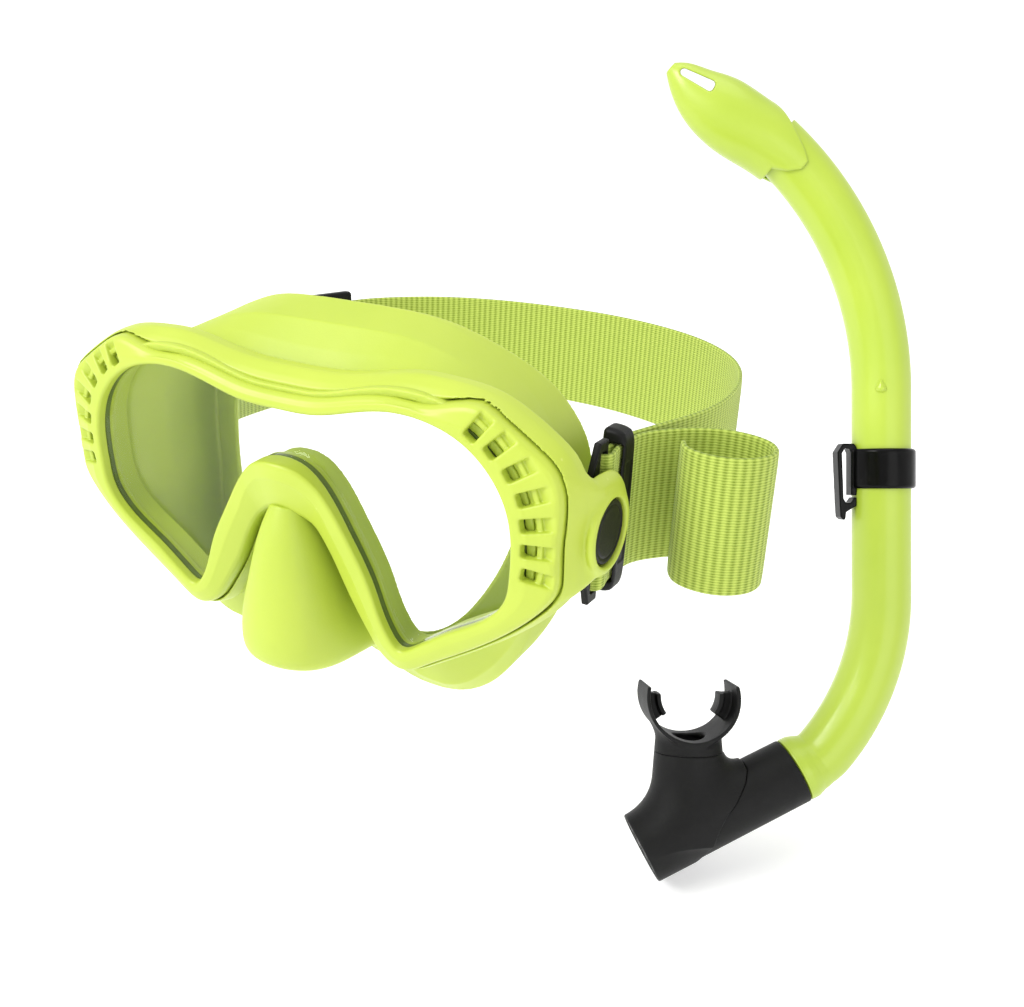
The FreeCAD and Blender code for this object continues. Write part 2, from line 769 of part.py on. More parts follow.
def keeper_clip():
    """Snap ring on the barrel with a slotted bracket for the strap."""
    where = AT_SNORKEL.multiply(Placement(V(0, 0, -3), Rotation()))
    body = add_body("keeper_clip", where)
    ring = circle_sketch(body, "KeeperRing", "XY_Plane",
                         [(0, 0, "Sizes.tube_dia"
                           " + 2 * Sizes.keeper_wall")])
    pad(body, ring, "KeeperRingPad", "Sizes.keeper_tall")
    bracket = lines_sketch(
        body, "Bracket", "XZ_Plane",
        [[(-21, 20.5), (-14.6, 20.5), (-13, 18), (-13, 0), (-14, -8),
          (-16, -14.3), (-21, -14.3)]])
    pad(body, bracket, "BracketPad", "11", middle=True)
    slot = lines_sketch(
        body, "BracketSlot", "XZ_Plane",
        [[(-18.9, 16.8), (-15.3, 16.8), (-15.3, -8), (-18.9, -8)]])
    pocket(body, slot, "BracketSlotCut", "40", middle=True)
    bore = circle_sketch(body, "KeeperBore", "XY_Plane",
                         [(0, 0, "Sizes.tube_dia"
                           " + 2 * Sizes.pin_play")])
    pocket(body, bore, "KeeperBoreCut", "60", middle=True)
    return body


def parting_cutter(gap):
    """Half space below the slanting line where sleeve and elbow meet."""
    a = V(15.2, 0, 19.3 + gap)
    b = V(-16.8, 0, 61.6 + gap)
    run = b.sub(a)
    run.normalize()
    start = a.sub(run * 60)
    end = b.add(run * 60)
    far = V(0, 0, 200)
    face = Part.Face(Part.makePolygon(
        [start, end, end.add(far), start.add(far), start]))
    solid = face.extrude(V(0, 80, 0))
    solid.translate(V(0, -40, 0))
    return solid


def barrel_sleeve():
    long = size("elbow_long")
    outer = Part.makeCone(size("sleeve_dia") / 2, 15.4, long - 0.4,
                          V(0, 0, 0.4))
    bore = Part.makeCylinder(size("sleeve_bore") / 2, long + 2,
                             V(0, 0, -1))
    shape = outer.cut(bore).cut(parting_cutter(0))
    add_shape("barrel_sleeve", shape, AT_LOWER)


def neck(radius_top, radius_low, bottom, squash):
    """Upright neck from the elbow to the mouthpiece, slightly flat."""
    top = MOUTH.z - size("shield_round") + 1.5
    cone = Part.makeCone(radius_low, radius_top, top - bottom,
                         V(0, 0, bottom))
    matrix = FreeCAD.Matrix()
    matrix.scale(1, squash, 1)
    cone = cone.transformGeometry(matrix)
    cone.translate(V(MOUTH.x, 0, 0))
    return cone


NECK_SPLIT = -122.0


def in_snorkel(shape):
    """Move a shape from the lower frame into the snorkel frame."""
    copy = shape.copy()
    copy.Placement = IN_SNORKEL_LOWER.multiply(copy.Placement)
    return copy


def purge_elbow():
    long = size("elbow_long")
    radius = size("elbow_dia") / 2
    main = Part.makeCone(radius - 0.6, radius, long, V(0, 0, 0))
    main = main.common(parting_cutter(0.1))
    main = in_snorkel(main)
    branch = neck(14.6, 17.6, -150, 0.86)
    below = box(-140, -40, -40, 40, -200, NECK_SPLIT)
    shape = main.fuse(branch.common(below))
    shape = shape.cut(in_snorkel(box(-40, 40, -40, 40, long, long + 50)))
    bore = in_snorkel(Part.makeCylinder(size("sleeve_bore") / 2, long + 20,
                                        V(0, 0, -10)))
    mouth_bore = neck(10.6, 12.4, -156, 0.7)
    seat = in_snorkel(Part.makeCylinder(size("seat_dia") / 2 + 0.1, 20,
                                        V(0, 0, long - 10)))
    shape = shape.cut(bore).cut(mouth_bore).cut(seat)
    add_shape("purge_elbow", shape, AT_SNORKEL)


def sector(inner, outer, start, end, deep):
    """Ring sector standing in the XZ plane, centred on the mouth."""
    angle = end - start
    solid = Part.makeCylinder(outer, deep, V(0, 0, 0), V(0, 0, 1), angle)
    solid = solid.cut(Part.makeCylinder(inner, deep, V(0, 0, 0),
                                        V(0, 0, 1)))
    solid.rotate(V(0, 0, 0), V(0, 0, 1), start)
    solid.rotate(V(0, 0, 0), V(1, 0, 0), 90)
    solid.translate(V(0, deep / 2, 0))
    solid.translate(MOUTH)
    return solid


def mouthpiece():
    round_out = size("shield_round")
    round_in = round_out - size("shield_thick")
    shape = sector(round_in, round_out, 164, 376, size("shield_deep"))
    for start in (176, -36):
        shape = shape.fuse(sector(13.2, round_in + 0.4, start, start + 40,
                                  5))
        shape = shape.fuse(sector(13.2, 15.4, start, start + 40, 9))
    branch = neck(14.6, 17.6, -150, 0.86)
    above = box(-140, -40, -40, 40, NECK_SPLIT + 0.1, -60)
    dish = Part.makeCylinder(round_in, 60, V(MOUTH.x, 30, MOUTH.z),
                             V(0, -1, 0))
    shape = shape.fuse(branch.common(above).cut(dish))
    mouth_bore = neck(10.6, 12.4, -156, 0.7)
    mouth_bore = mouth_bore.fuse(Part.makeCylinder(
        7.4, 10, V(MOUTH.x, 0, MOUTH.z - 26)))
    shape = shape.cut(mouth_bore)
    add_shape("mouthpiece", shape, AT_SNORKEL)


def spoked_disc(name, start, thick, holes):
    """Thin round plate with a ring of holes across the lower tube."""
    where = AT_LOWER.multiply(Placement(
        V(0, 0, size("elbow_long") - start), Rotation()))
    body = add_body(name, where)
    disc = circle_sketch(body, name + "_disc", "XY_Plane",
                         [(0, 0, "Sizes.seat_dia")])
    pad(body, disc, name + "_pad", thick)
    spots = [(7.4 * cos(radians(60 * i)), 7.4 * sin(radians(60 * i)), 5.2)
             for i in range(6)]
    ring = circle_sketch(body, name + "_holes", "XY_Plane", spots + holes)
    pocket(body, ring, name + "_cut", "20", middle=True)
    return body


def purge_diaphragm():
    where = AT_LOWER.multiply(Placement(
        V(0, 0, size("elbow_long") - 7.4), Rotation()))
    body = add_body("purge_diaphragm", where)
    disc = circle_sketch(body, "FlapDisc", "XY_Plane",
                         [(0, 0, "Sizes.flap_dia")])
    pad(body, disc, "FlapPad", "Sizes.flap_thick")
    return body


lens_glass()
front_bezel()
back_frame()
silicone_skirt()
for side_name, side in (("left", 1), ("right", -1)):
    pivot_cap(side_name, side)
    strap_yoke(side_name, side)
head_strap()
sliders()
barrel_tube()
splash_guard()
keeper_clip()
barrel_sleeve()
purge_elbow()
mouthpiece()
spoked_disc("purge_seat", 9.8, "2", [])
purge_diaphragm()
spoked_disc("purge_cap", 2.2, "1.8", [(0, 0, 3)])

doc.recompute()
for part in doc.Objects:
    if "Invalid" in part.State or "Error" in part.State:
        raise RuntimeError(f"{part.Name}: {part.State}")
for part in made:
    if part.Shape.isNull() or not part.Shape.isValid():
        raise RuntimeError(f"{part.Label}: bad shape")
    part.Shape.exportStep(f"parts/{part.Label}.step")
    print(part.Label, len(part.Shape.Solids), round(part.Shape.Volume))
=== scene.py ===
"""Dive mask with head strap, and its snorkel: the looks, on the CAD frame.

Shapes are written in millimetres and placed in the row frame in metres:
X to the wearer's left, Y from the lens towards the head, Z up.
Mask shapes have y = 0 at the lens front. Snorkel shapes stand in their own
XZ plane. Moulded solids are distance fields, joined with soft fillets and
then meshed; webbing and barrel are swept along their own paths.
"""
from math import cos, radians, sin

import bpy
import numpy as np
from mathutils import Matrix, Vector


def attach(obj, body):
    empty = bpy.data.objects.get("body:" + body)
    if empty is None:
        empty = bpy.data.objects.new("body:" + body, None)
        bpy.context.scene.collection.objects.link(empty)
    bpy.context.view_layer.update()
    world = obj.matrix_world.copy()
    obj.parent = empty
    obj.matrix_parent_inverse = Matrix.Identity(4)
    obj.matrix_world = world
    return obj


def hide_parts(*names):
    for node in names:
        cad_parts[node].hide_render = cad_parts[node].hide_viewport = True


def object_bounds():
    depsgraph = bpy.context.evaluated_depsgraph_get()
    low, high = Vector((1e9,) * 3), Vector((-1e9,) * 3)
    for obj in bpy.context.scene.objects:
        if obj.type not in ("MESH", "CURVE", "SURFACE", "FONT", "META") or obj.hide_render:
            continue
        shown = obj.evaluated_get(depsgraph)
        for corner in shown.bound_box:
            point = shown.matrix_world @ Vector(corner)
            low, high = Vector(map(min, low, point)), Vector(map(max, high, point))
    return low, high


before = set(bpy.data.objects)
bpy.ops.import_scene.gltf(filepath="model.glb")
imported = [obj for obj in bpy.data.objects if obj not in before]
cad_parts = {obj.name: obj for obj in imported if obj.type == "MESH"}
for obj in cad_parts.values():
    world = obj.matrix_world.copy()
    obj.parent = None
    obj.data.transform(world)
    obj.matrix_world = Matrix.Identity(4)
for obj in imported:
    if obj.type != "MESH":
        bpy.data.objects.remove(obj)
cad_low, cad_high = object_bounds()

import openvdb
from mathutils import Matrix, Vector
from mathutils.geometry import tessellate_polygon

MM = 0.001

# ---- driving sizes
SEAL_DEPTH = 45              # lens front to the centre of the face opening
GLASS_THICK = 4
GLASS_LAP = 3                # glass beyond the opening, all round
COLLAR = 2.5                 # skirt beyond the glass
SEAT = GLASS_LAP + COLLAR + 0.1  # edge of the frames' inner seat
WALL = 2                     # skirt wall
SKIRT_DEEP = 66              # the skirt's solids run past its face surface
BEZEL_FRONT = 3.2            # bezel ahead of the lens front
BEZEL_BACK = 4
ARCH_FRONT = 7.2             # the same over the nose
RING_BACK = 10
EAR_FACE = 88                # outer face of the lugs, from the middle
EAR_THICK = 3.5
PIVOT = (17, -4)             # depth and height of the strap pivots
WEB_WIDE = 37.5
WEB_THICK = 1.7
WEB_DROP = -1.5              # middle of the webbing from the pivots
BAR = (81.05, 8.5)           # yoke bar that the webbing turns round
LOOP = 2.1                   # radius of that turn
LAYER = 1.15                 # half the distance between two layers
TUBE = 12.7                  # barrel radius
BORE = 10.9
TOP_BEND = 154               # bend radii of the barrel, from top to bottom
LOW_BEND = 110
END_BEND = 22
TOP_BEND_HIGH = 42           # heights where the straight stretch ends
LOW_BEND_HIGH = -51
TOP_TURN = radians(47)       # how far each bend has turned
LOW_TURN = radians(40)
END_TURN = radians(63)
ELBOW_LONG = 78
MOUTH = (-87.7, -96.4)       # centre of the mouthpiece shield
SHIELD = 21                  # and its radius
NUB_TURN = radians(22.7)     # where the barrel's nub stands
NUB_HIGH = 41.5

# Half outlines in the XZ plane, from the top centre round the wearer's left
# side to the centre over the nose.
OPENING = [
    (0, 18.6), (12, 19.0), (24, 21.8), (36, 24.2), (47, 23.6), (57, 20.0),
    (64.5, 13.5), (69, 5.5), (70.6, -3.5), (70.4, -12), (69.3, -19),
    (66, -24.3), (52, -34.5), (41.5, -42.2), (37, -44.2), (33.8, -41.2),
    (28, -27.5), (20.5, -13.3), (13.5, -2.5), (7, 2.8), (0, 4.2)]
BEZEL_EDGE = [
    (0, 22.8), (12, 23.3), (24, 25.9), (36, 27.6), (46, 27.5), (53, 29.0),
    (60, 29.6), (67, 26.3), (75, 21), (80.5, 16.2), (82.6, 11), (82.6, 0),
    (82.4, -8), (82, -15), (78, -21.5), (70, -29.5), (56.5, -39.8),
    (44, -48.2), (37, -51.6), (31.8, -50), (26, -43.5), (18.7, -31.7),
    (12.5, -19.5), (7, -13.2), (0, -10.9)]
RING_EDGE = [
    (0, 28), (14, 28.4), (27, 30.4), (38, 32.3), (47, 32.4), (55, 31.8),
    (62, 30.4), (69.5, 27), (77.5, 21.8), (82.8, 16.6), (84.8, 11),
    (84.8, 0), (84.6, -8.5), (84.2, -16), (79.8, -23.3), (71.5, -31.6),
    (57.8, -42), (45, -50.6), (37, -54), (30.3, -52), (24.3, -44.6),
    (17, -32.4), (11, -20.8), (6, -15), (0, -12.9)]
FLANGE = [
    (0, 39.5), (13, 39.3), (26, 38), (38, 34.2), (48, 29), (57, 22),
    (63.5, 13.5), (67.5, 4.5), (69, -5), (68.6, -15), (66.8, -25),
    (65.5, -38), (60.5, -52), (52, -63.5), (42, -69.6), (32, -71),
    (23, -69.8), (16, -66.8), (10, -64.8), (5, -63.5), (0, -63)]
FACE_HOLE = [
    (0, 27), (15, 27), (30, 24), (42, 17.5), (49.5, 8), (52, -4),
    (51.5, -18), (48, -32), (42, -44), (35, -52.5), (27, -56.5),
    (16, -55), (0, -52.5)]
# Where on the opening each point of the bezel edge looks to.
FACING = [0, 1, 2, 3, 4, 4.5, 5.1, 5.6, 6.2, 6.7, 7.0, 7.7, 8.5, 9.4, 10.2,
          11.1, 12, 13, 14, 14.8, 15.4, 16.3, 17.2, 18.5, 20]
# Face surface depth at a distance from the centre, leaning with height.
FACE_CURVE = [(0, 34), (23, 35.5), (34, 38), (46, 41.5), (55, 45.5),
              (62, 49), (69, 53), (80, 61)]
FACE_LEAN = 0.1
VENTS = [(61.3, 25.2), (67, 21.6), (72.4, 16.2), (76.1, 9.9), (77.3, 2.9),
         (77.7, -4.3), (77.8, -11.3)]
# Nose pocket slices: height at the front, half width, front depth.
NOSE = [(-9, 5, -5), (-15, 8, -8), (-30, 13, -12.4), (-46, 16.4, -15.6),
        (-54, 15.6, -14.6), (-57, 12.6, -11), (-58.4, 7, -4)]

# Strap path seen from above, measured from the strap pivots.
MAIN_NEAR = [(81.2, 32), (84.5, 43), (88, 56), (89.8, 70), (89, 86),
             (85.5, 103), (79.5, 119), (69.5, 134.5), (55.5, 148),
             (36, 159), (14, 165.5)]
MAIN_FAR = [(-10, 167), (-36, 163.5), (-56, 155), (-70, 143),
            (-78.8, 130), (-81.3, 122.5), (-83.8, 115), (-86.3, 107.5),
            (-88.6, 100), (-90.8, 86), (-91.2, 70), (-89.2, 53),
            (-85, 37), (-81.2, 26)]
TAIL = [(83.6, 31), (86.8, 36), (92, 41.5), (99, 45.4), (107, 45.4),
        (113.6, 41.6), (116.6, 35), (115, 28), (109.6, 23.2),
        (102.6, 22.4), (96.8, 25.2), (94, 30)]

# Splash guard slices: centre x, z, direction, half width, half depth.
GUARD = [(-28.6, 131.6, 56, 13.5, 13.5), (-38.2, 142.3, 49, 13.8, 13.7),
         (-49.1, 152.6, 46, 15.4, 14.2), (-61.5, 160.8, 40, 15.8, 13.8),
         (-74.2, 170, 36, 15.1, 12), (-85.4, 178.7, 40, 10.8, 8.2),
         (-92.9, 186.2, 42, 5.4, 4.8), (-95.5, 188.2, 42, 2.8, 2.6)]
SLOT_SPOT = (-83.4, 183.1)   # middle of the hanging slot at y = 0
SLOT_LEAN = (0.26, 0.35)     # its drift in x and z per unit of y
# Sleeve and elbow parting line: across and along the sleeve.
PARTING = [(-16.8, 61.6), (-14.3, 58.3), (-10.7, 53.2), (-6.8, 48.2),
           (-3.2, 44.6), (0.5, 39.3), (4.2, 31.6), (9.1, 24), (12.6, 20.2),
           (15.2, 19.3)]

# ---- placements
AT_MASK = Matrix.Translation((0, -SEAL_DEPTH, 0))
AT_STRAP = (AT_MASK @ Matrix.Translation((0, PIVOT[0], PIVOT[1]))
            @ Matrix.Rotation(radians(-4.5), 4, "X"))
AT_SNORKEL = (Matrix.Translation((102.9, 248.6, -93.3))
              @ Matrix.Rotation(radians(34), 4, "Z")
              @ Matrix.Rotation(radians(-24), 4, "X")
              @ Matrix.Rotation(radians(1.5), 4, "Y"))
SLEEVE_START = (-39.73, -130.8)
SLEEVE_TURN = radians(-117)


# ---- curves
class Curve:
    """Smooth curve through points; t grows by one from point to point."""

    def __init__(self, points, closed=False):
        self.points = np.array(points, float)
        self.closed = closed
        count = len(self.points)
        ahead = np.roll(self.points, -1, axis=0)
        self.gap = np.linalg.norm(ahead - self.points, axis=1)
        matrix = np.zeros((count, count))
        right = np.zeros_like(self.points)
        for i in range(count):
            if not closed and i in (0, count - 1):
                j = 1 if i == 0 else count - 2
                k = min(i, j)
                matrix[i, i], matrix[i, j] = 2, 1
                step = self.points[k + 1] - self.points[k]
                right[i] = 3 * step / self.gap[k]
                continue
            before, after = self.gap[i - 1], self.gap[i]
            j = (i + 1) % count
            matrix[i, i - 1] = after
            matrix[i, i] = 2 * (before + after)
            matrix[i, j] = before
            right[i] = 3 * (
                after * (self.points[i] - self.points[i - 1]) / before
                + before * (self.points[j] - self.points[i]) / after)
        self.slope = np.linalg.solve(matrix, right)

    def at(self, t):
        t = np.asarray(t, float)
        count = len(self.points)
        i = np.floor(t).astype(int)
        if not self.closed:
            i = np.clip(i, 0, count - 2)
        s = (t - i)[..., None]
        a, b = i % count, (i + 1) % count
        gap = self.gap[a][..., None]
        return (self.points[a] * (1 + 2 * s) * (1 - s) ** 2
                + self.slope[a] * gap * s * (1 - s) ** 2
                + self.points[b] * s * s * (3 - 2 * s)
                + self.slope[b] * gap * s * s * (s - 1))


def smooth(points, count):
    """Points spread over the smooth open curve through the points."""
    return Curve(points).at(np.linspace(0, len(points) - 1, count))


def turns(count):
    """Angles spread over a full turn."""
    return np.linspace(0, 2 * np.pi, count, endpoint=False)


def whole(half):
    """Closed curve from a half outline."""
    return Curve(list(half) + [(-x, z) for x, z in half[-2:0:-1]], True)


def grown(outline, by):
    """The closed clockwise loop of points moved outwards."""
    ahead = np.roll(outline, -1, axis=0) - np.roll(outline, 1, axis=0)
    ahead /= np.linalg.norm(ahead, axis=1)[:, None]
    return outline + by * np.stack([-ahead[:, 1], ahead[:, 0]], axis=1)


def at_depth(outline, depth):
    """Outline in the XZ plane as points at a depth."""
    depth = np.broadcast_to(depth, len(outline))
    return np.stack([outline[:, 0], depth, outline[:, 1]], axis=1)


def evenly(path, step):
    """Points of a path, resampled to even steps."""
    run = np.linalg.norm(np.diff(path, axis=0), axis=1)
    along = np.concatenate([[0], np.cumsum(run)])
    spots = np.linspace(0, along[-1], int(along[-1] / step) + 1)
    return np.stack([np.interp(spots, along, path[:, k])
                     for k in range(path.shape[1])], axis=1)


def direction(line):
    """Unit vectors along a line of points."""
    ahead = np.gradient(line, axis=0)
    return ahead / np.linalg.norm(ahead, axis=1)[:, None]


# ---- meshes
def net(rings, wrap_rings=False, caps=False):
    """Points, quads and triangles of a run of closed rings."""
    rings = np.asarray(rings, float)
    rows, cols = rings.shape[:2]
    index = np.arange(rows * cols).reshape(rows, cols)
    below = index if wrap_rings else index[:-1]
    above = np.roll(index, -1, axis=0) if wrap_rings else index[1:]
    quads = np.stack([below, np.roll(below, -1, axis=1),
                      np.roll(above, -1, axis=1), above], axis=-1)
    triangles = []
    if caps:
        for row in (0, rows - 1):
            loop = [Vector(p) for p in rings[row]]
            found = np.array(tessellate_polygon([loop])) + row * cols
            triangles.append(found if row else found[:, ::-1])
        triangles = np.concatenate(triangles)
    return rings.reshape(-1, 3), quads.reshape(-1, 4), triangles


def piece(name, points, faces, place, body, material, nodes,
          crease=180):
    """Mesh object that stands for CAD nodes and rides on their body."""
    points = np.asarray(points, float)
    turn = np.array(place)
    world = (points @ turn[:3, :3].T + turn[:3, 3]) * MM
    mesh = bpy.data.meshes.new(name)
    mesh.from_pydata(world.tolist(), [], [list(map(int, f)) for f in faces])
    mesh.validate()
    mesh.polygons.foreach_set("use_smooth", [True] * len(mesh.polygons))
    if crease < 180:
        mesh.set_sharp_from_angle(angle=radians(crease))
    mesh.materials.append(material)
    obj = bpy.data.objects.new(name, mesh)
    bpy.context.scene.collection.objects.link(obj)
    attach(obj, body)
    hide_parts(*nodes)
    return obj


def skinned(name, field, shape, place, body, material, slot, side=1):
    """Piece from a field's surface, mirrored if the side is -1."""
    points, quads = field.skin(shape)
    points[:, 0] *= side
    faces = quads if side > 0 else quads[:, ::-1]
    piece(name, points, faces, place, body, material, [name])


# ---- distance fields
BAND = 8                     # samples each side of a surface that are exact


class Field:
    """Box of sample points for signed distances; inside is negative."""

    def __init__(self, low, high, step):
        self.low = np.array(low, float)
        self.step = step
        self.count = [int((b - a) / step) + 2 for a, b in zip(low, high)]
        self.axes = self.x, self.y, self.z = np.meshgrid(
            *[a + step * np.arange(n) for a, n in zip(low, self.count)],
            indexing="ij", sparse=True)

    def solid(self, points, quads, triangles):
        """Distance to a closed mesh."""
        local = (points - self.low) / self.step
        shape = {"quads": np.asarray(quads, np.uint32)}
        if len(triangles):
            shape["triangles"] = np.asarray(triangles, np.uint32)
        grid = openvdb.FloatGrid.createLevelSetFromPolygons(
            points=local.astype(np.float32), halfWidth=BAND, **shape)
        out = np.empty(self.count, np.float32)
        grid.copyToArray(out)
        return out * self.step

    def closed(self, rings):
        """Distance to the solid inside a run of rings."""
        return self.solid(*net(rings, caps=True))

    def cut_out(self, reach, centre):
        """The part of the box within reach of a centre."""
        spans = []
        for k in range(3):
            spot = (centre[k] - self.low[k]) / self.step
            wide = reach / self.step
            spans.append(slice(max(int(spot - wide), 0),
                               max(int(spot + wide) + 2, 0)))
        x = self.x[spans[0]]
        y = self.y[:, spans[1]]
        z = self.z[:, :, spans[2]]
        return tuple(spans), x, y, z

    def skin(self, distance):
        """Points and quads of the surface."""
        near = np.clip(distance / self.step, -3, 3).astype(np.float32)
        near = np.array(np.broadcast_to(near, self.count), order="C")
        grid = openvdb.FloatGrid(3.0)
        grid.copyFromArray(near)
        points, quads = grid.convertToQuads(0.0)
        points = relaxed(points.astype(float), quads)
        return points * self.step + self.low, quads[:, ::-1]


def relaxed(points, quads, rounds=3):
    """Points eased towards the middle of their faces, and back."""
    count = np.bincount(quads.ravel(), minlength=len(points))[:, None]
    for share in [0.6, -0.55] * rounds:
        middle = points[quads].mean(axis=1)
        total = np.stack([np.bincount(
            quads.ravel(), np.repeat(middle[:, k], 4), len(points))
            for k in range(3)], axis=1)
        points = points + share * (total / np.maximum(count, 1) - points)
    return points


def join(a, b, fillet):
    """Both shapes, with a soft fillet where they meet."""
    share = np.clip(0.5 + 0.5 * (b - a) / fillet, 0, 1)
    return b + (a - b) * share - fillet * share * (1 - share)


def common(a, b, fillet):
    """Where both shapes are, with a rounded edge."""
    return -join(-a, -b, fillet)


def cut(a, b, fillet):
    """The first shape without the second, with a rounded edge."""
    return -join(-a, b, fillet)


def rounded(edges, radius):
    """Distance of a box-like shape from its distances per direction."""
    out = 0
    deep = None
    for edge in edges:
        edge = edge + radius
        out = out + np.maximum(edge, 0) ** 2
        deep = edge if deep is None else np.maximum(deep, edge)
    return np.sqrt(out) + np.minimum(deep, 0) - radius


def between(value, low, high):
    """Distance outside the span from low to high."""
    return np.abs(value - (low + high) / 2) - (high - low) / 2


def polygon(points, a, b):
    """Signed distance to a closed polygon in two coordinates."""
    best = np.full(np.broadcast(a, b).shape, 1e9)
    inside = np.zeros(best.shape, bool)
    for (x0, z0), (x1, z1) in zip(points, points[1:] + points[:1]):
        dx, dz = x1 - x0, z1 - z0
        share = np.clip(((a - x0) * dx + (b - z0) * dz)
                        / (dx * dx + dz * dz), 0, 1)
        best = np.minimum(best, np.hypot(a - x0 - share * dx,
                                         b - z0 - share * dz))
        if z0 != z1:
            cross = ((z0 > b) != (z1 > b)) & (
                a < x0 + (b - z0) * dx / dz)
            inside ^= cross
    return np.where(inside, -best, best)


# ---- materials
def node_material(name):
    """New material with its node tree's nodes and links."""
    material = bpy.data.materials.new(name)
    material.use_nodes = True
    return material, material.node_tree.nodes, material.node_tree.links


def put(node, **values):
    """Uniform values on a node's sockets, with _ for each space."""
    for name, value in values.items():
        node.inputs[name.replace("_", " ")].default_value = value


def bumped(nodes, links, height, strength, distance, normal):
    """Small relief from a height, sent to a normal socket."""
    bump = nodes.new("ShaderNodeBump")
    put(bump, Strength=strength, Distance=distance)
    links.new(height, bump.inputs["Height"])
    links.new(bump.outputs["Normal"], normal)


def spread(nodes, links, value, low, high):
    """A value from 0 to 1 turned into one from low to high."""
    node = nodes.new("ShaderNodeMapRange")
    put(node, To_Min=low, To_Max=high)
    links.new(value, node.inputs["Value"])
    return node.outputs["Result"]


def ramp(nodes, links, source, low, high, low_at=0.3, high_at=0.7):
    """Colour between two colours, by a value."""
    node = nodes.new("ShaderNodeValToRGB")
    node.color_ramp.elements[0].position = low_at
    node.color_ramp.elements[1].position = high_at
    node.color_ramp.elements[0].color = (*low, 1)
    node.color_ramp.elements[1].color = (*high, 1)
    links.new(source, node.inputs["Fac"])
    return node.outputs["Color"]


def noise(nodes, links, where, scale, detail=4, rough=0.5):
    """Grey noise at the places given."""
    node = nodes.new("ShaderNodeTexNoise")
    put(node, Scale=scale, Detail=detail, Roughness=rough)
    links.new(where, node.inputs["Vector"])
    return node.outputs["Fac"]


def moulded(name, colour, shade, rough, grain=1400, grain_high=0.05,
            coat=0.0, subsurface=0.0, spec=0.5, wear_and_highlight=None):
    """Moulded plastic or silicone: mottling, fine grain, and edges lightened as part wear,
    part painted highlight.
    """
    material, nodes, links = node_material(name)
    shader = nodes["Principled BSDF"]
    where = nodes.new("ShaderNodeTexCoord").outputs["Object"]
    broad = noise(nodes, links, where, 28, 3)
    tint = ramp(nodes, links, broad, shade, colour)
    # Sharp edges get a lighter colour: partly wear, partly painted highlight.
    if wear_and_highlight:
        edge = nodes.new("ShaderNodeNewGeometry").outputs["Pointiness"]
        mask = ramp(nodes, links, edge, (0, 0, 0), (1, 1, 1), 0.56, 0.68)
        mix = nodes.new("ShaderNodeMix")
        mix.data_type = "RGBA"
        links.new(mask, mix.inputs["Factor"])
        links.new(tint, mix.inputs[6])
        mix.inputs[7].default_value = (*wear_and_highlight, 1)
        tint = mix.outputs[2]
    links.new(tint, shader.inputs["Base Color"])
    patches = noise(nodes, links, where, 190, 5)
    links.new(spread(nodes, links, patches, rough - 0.05, rough + 0.07),
              shader.inputs["Roughness"])
    fine = noise(nodes, links, where, grain, 3, 0.6)
    bumped(nodes, links, fine, grain_high, 0.0004, shader.inputs["Normal"])
    put(shader, Coat_Weight=coat, Coat_Roughness=0.12,
        Specular_IOR_Level=spec)
    if subsurface:
        put(shader, Subsurface_Weight=subsurface, Subsurface_Scale=0.003,
            Subsurface_Radius=(1, 0.9, 0.25))
    return material


def lens_material():
    """Clear tempered glass: what is behind, a faint tint and a gloss."""
    material, nodes, links = node_material("clear_lens")
    nodes.remove(nodes["Principled BSDF"])
    where = nodes.new("ShaderNodeTexCoord").outputs["Object"]
    clear = nodes.new("ShaderNodeBsdfTransparent")
    tint = ramp(nodes, links, noise(nodes, links, where, 12, 2),
                (0.982, 0.986, 0.984), (0.992, 0.995, 0.993))
    links.new(tint, clear.inputs["Color"])
    gloss = nodes.new("ShaderNodeBsdfGlossy")
    put(gloss, Roughness=0.04)
    bumped(nodes, links, noise(nodes, links, where, 60, 4), 0.02, 0.0002,
           gloss.inputs["Normal"])
    facing = nodes.new("ShaderNodeLayerWeight")
    put(facing, Blend=0.5)
    steep = nodes.new("ShaderNodeMath")
    steep.operation = "POWER"
    steep.inputs[1].default_value = 5
    links.new(facing.outputs["Facing"], steep.inputs[0])
    mix = nodes.new("ShaderNodeMixShader")
    links.new(spread(nodes, links, steep.outputs[0], 0.018, 0.8),
              mix.inputs["Fac"])
    links.new(clear.outputs["BSDF"], mix.inputs[1])
    links.new(gloss.outputs["BSDF"], mix.inputs[2])
    links.new(mix.outputs["Shader"], nodes["Material Output"].inputs[0])
    return material


RIB = 2.2                    # pitch of the ribs across the webbing
YARN = 0.75                  # pitch of the yarns along a rib
RIB_STEPS = 6                # mesh columns to a rib


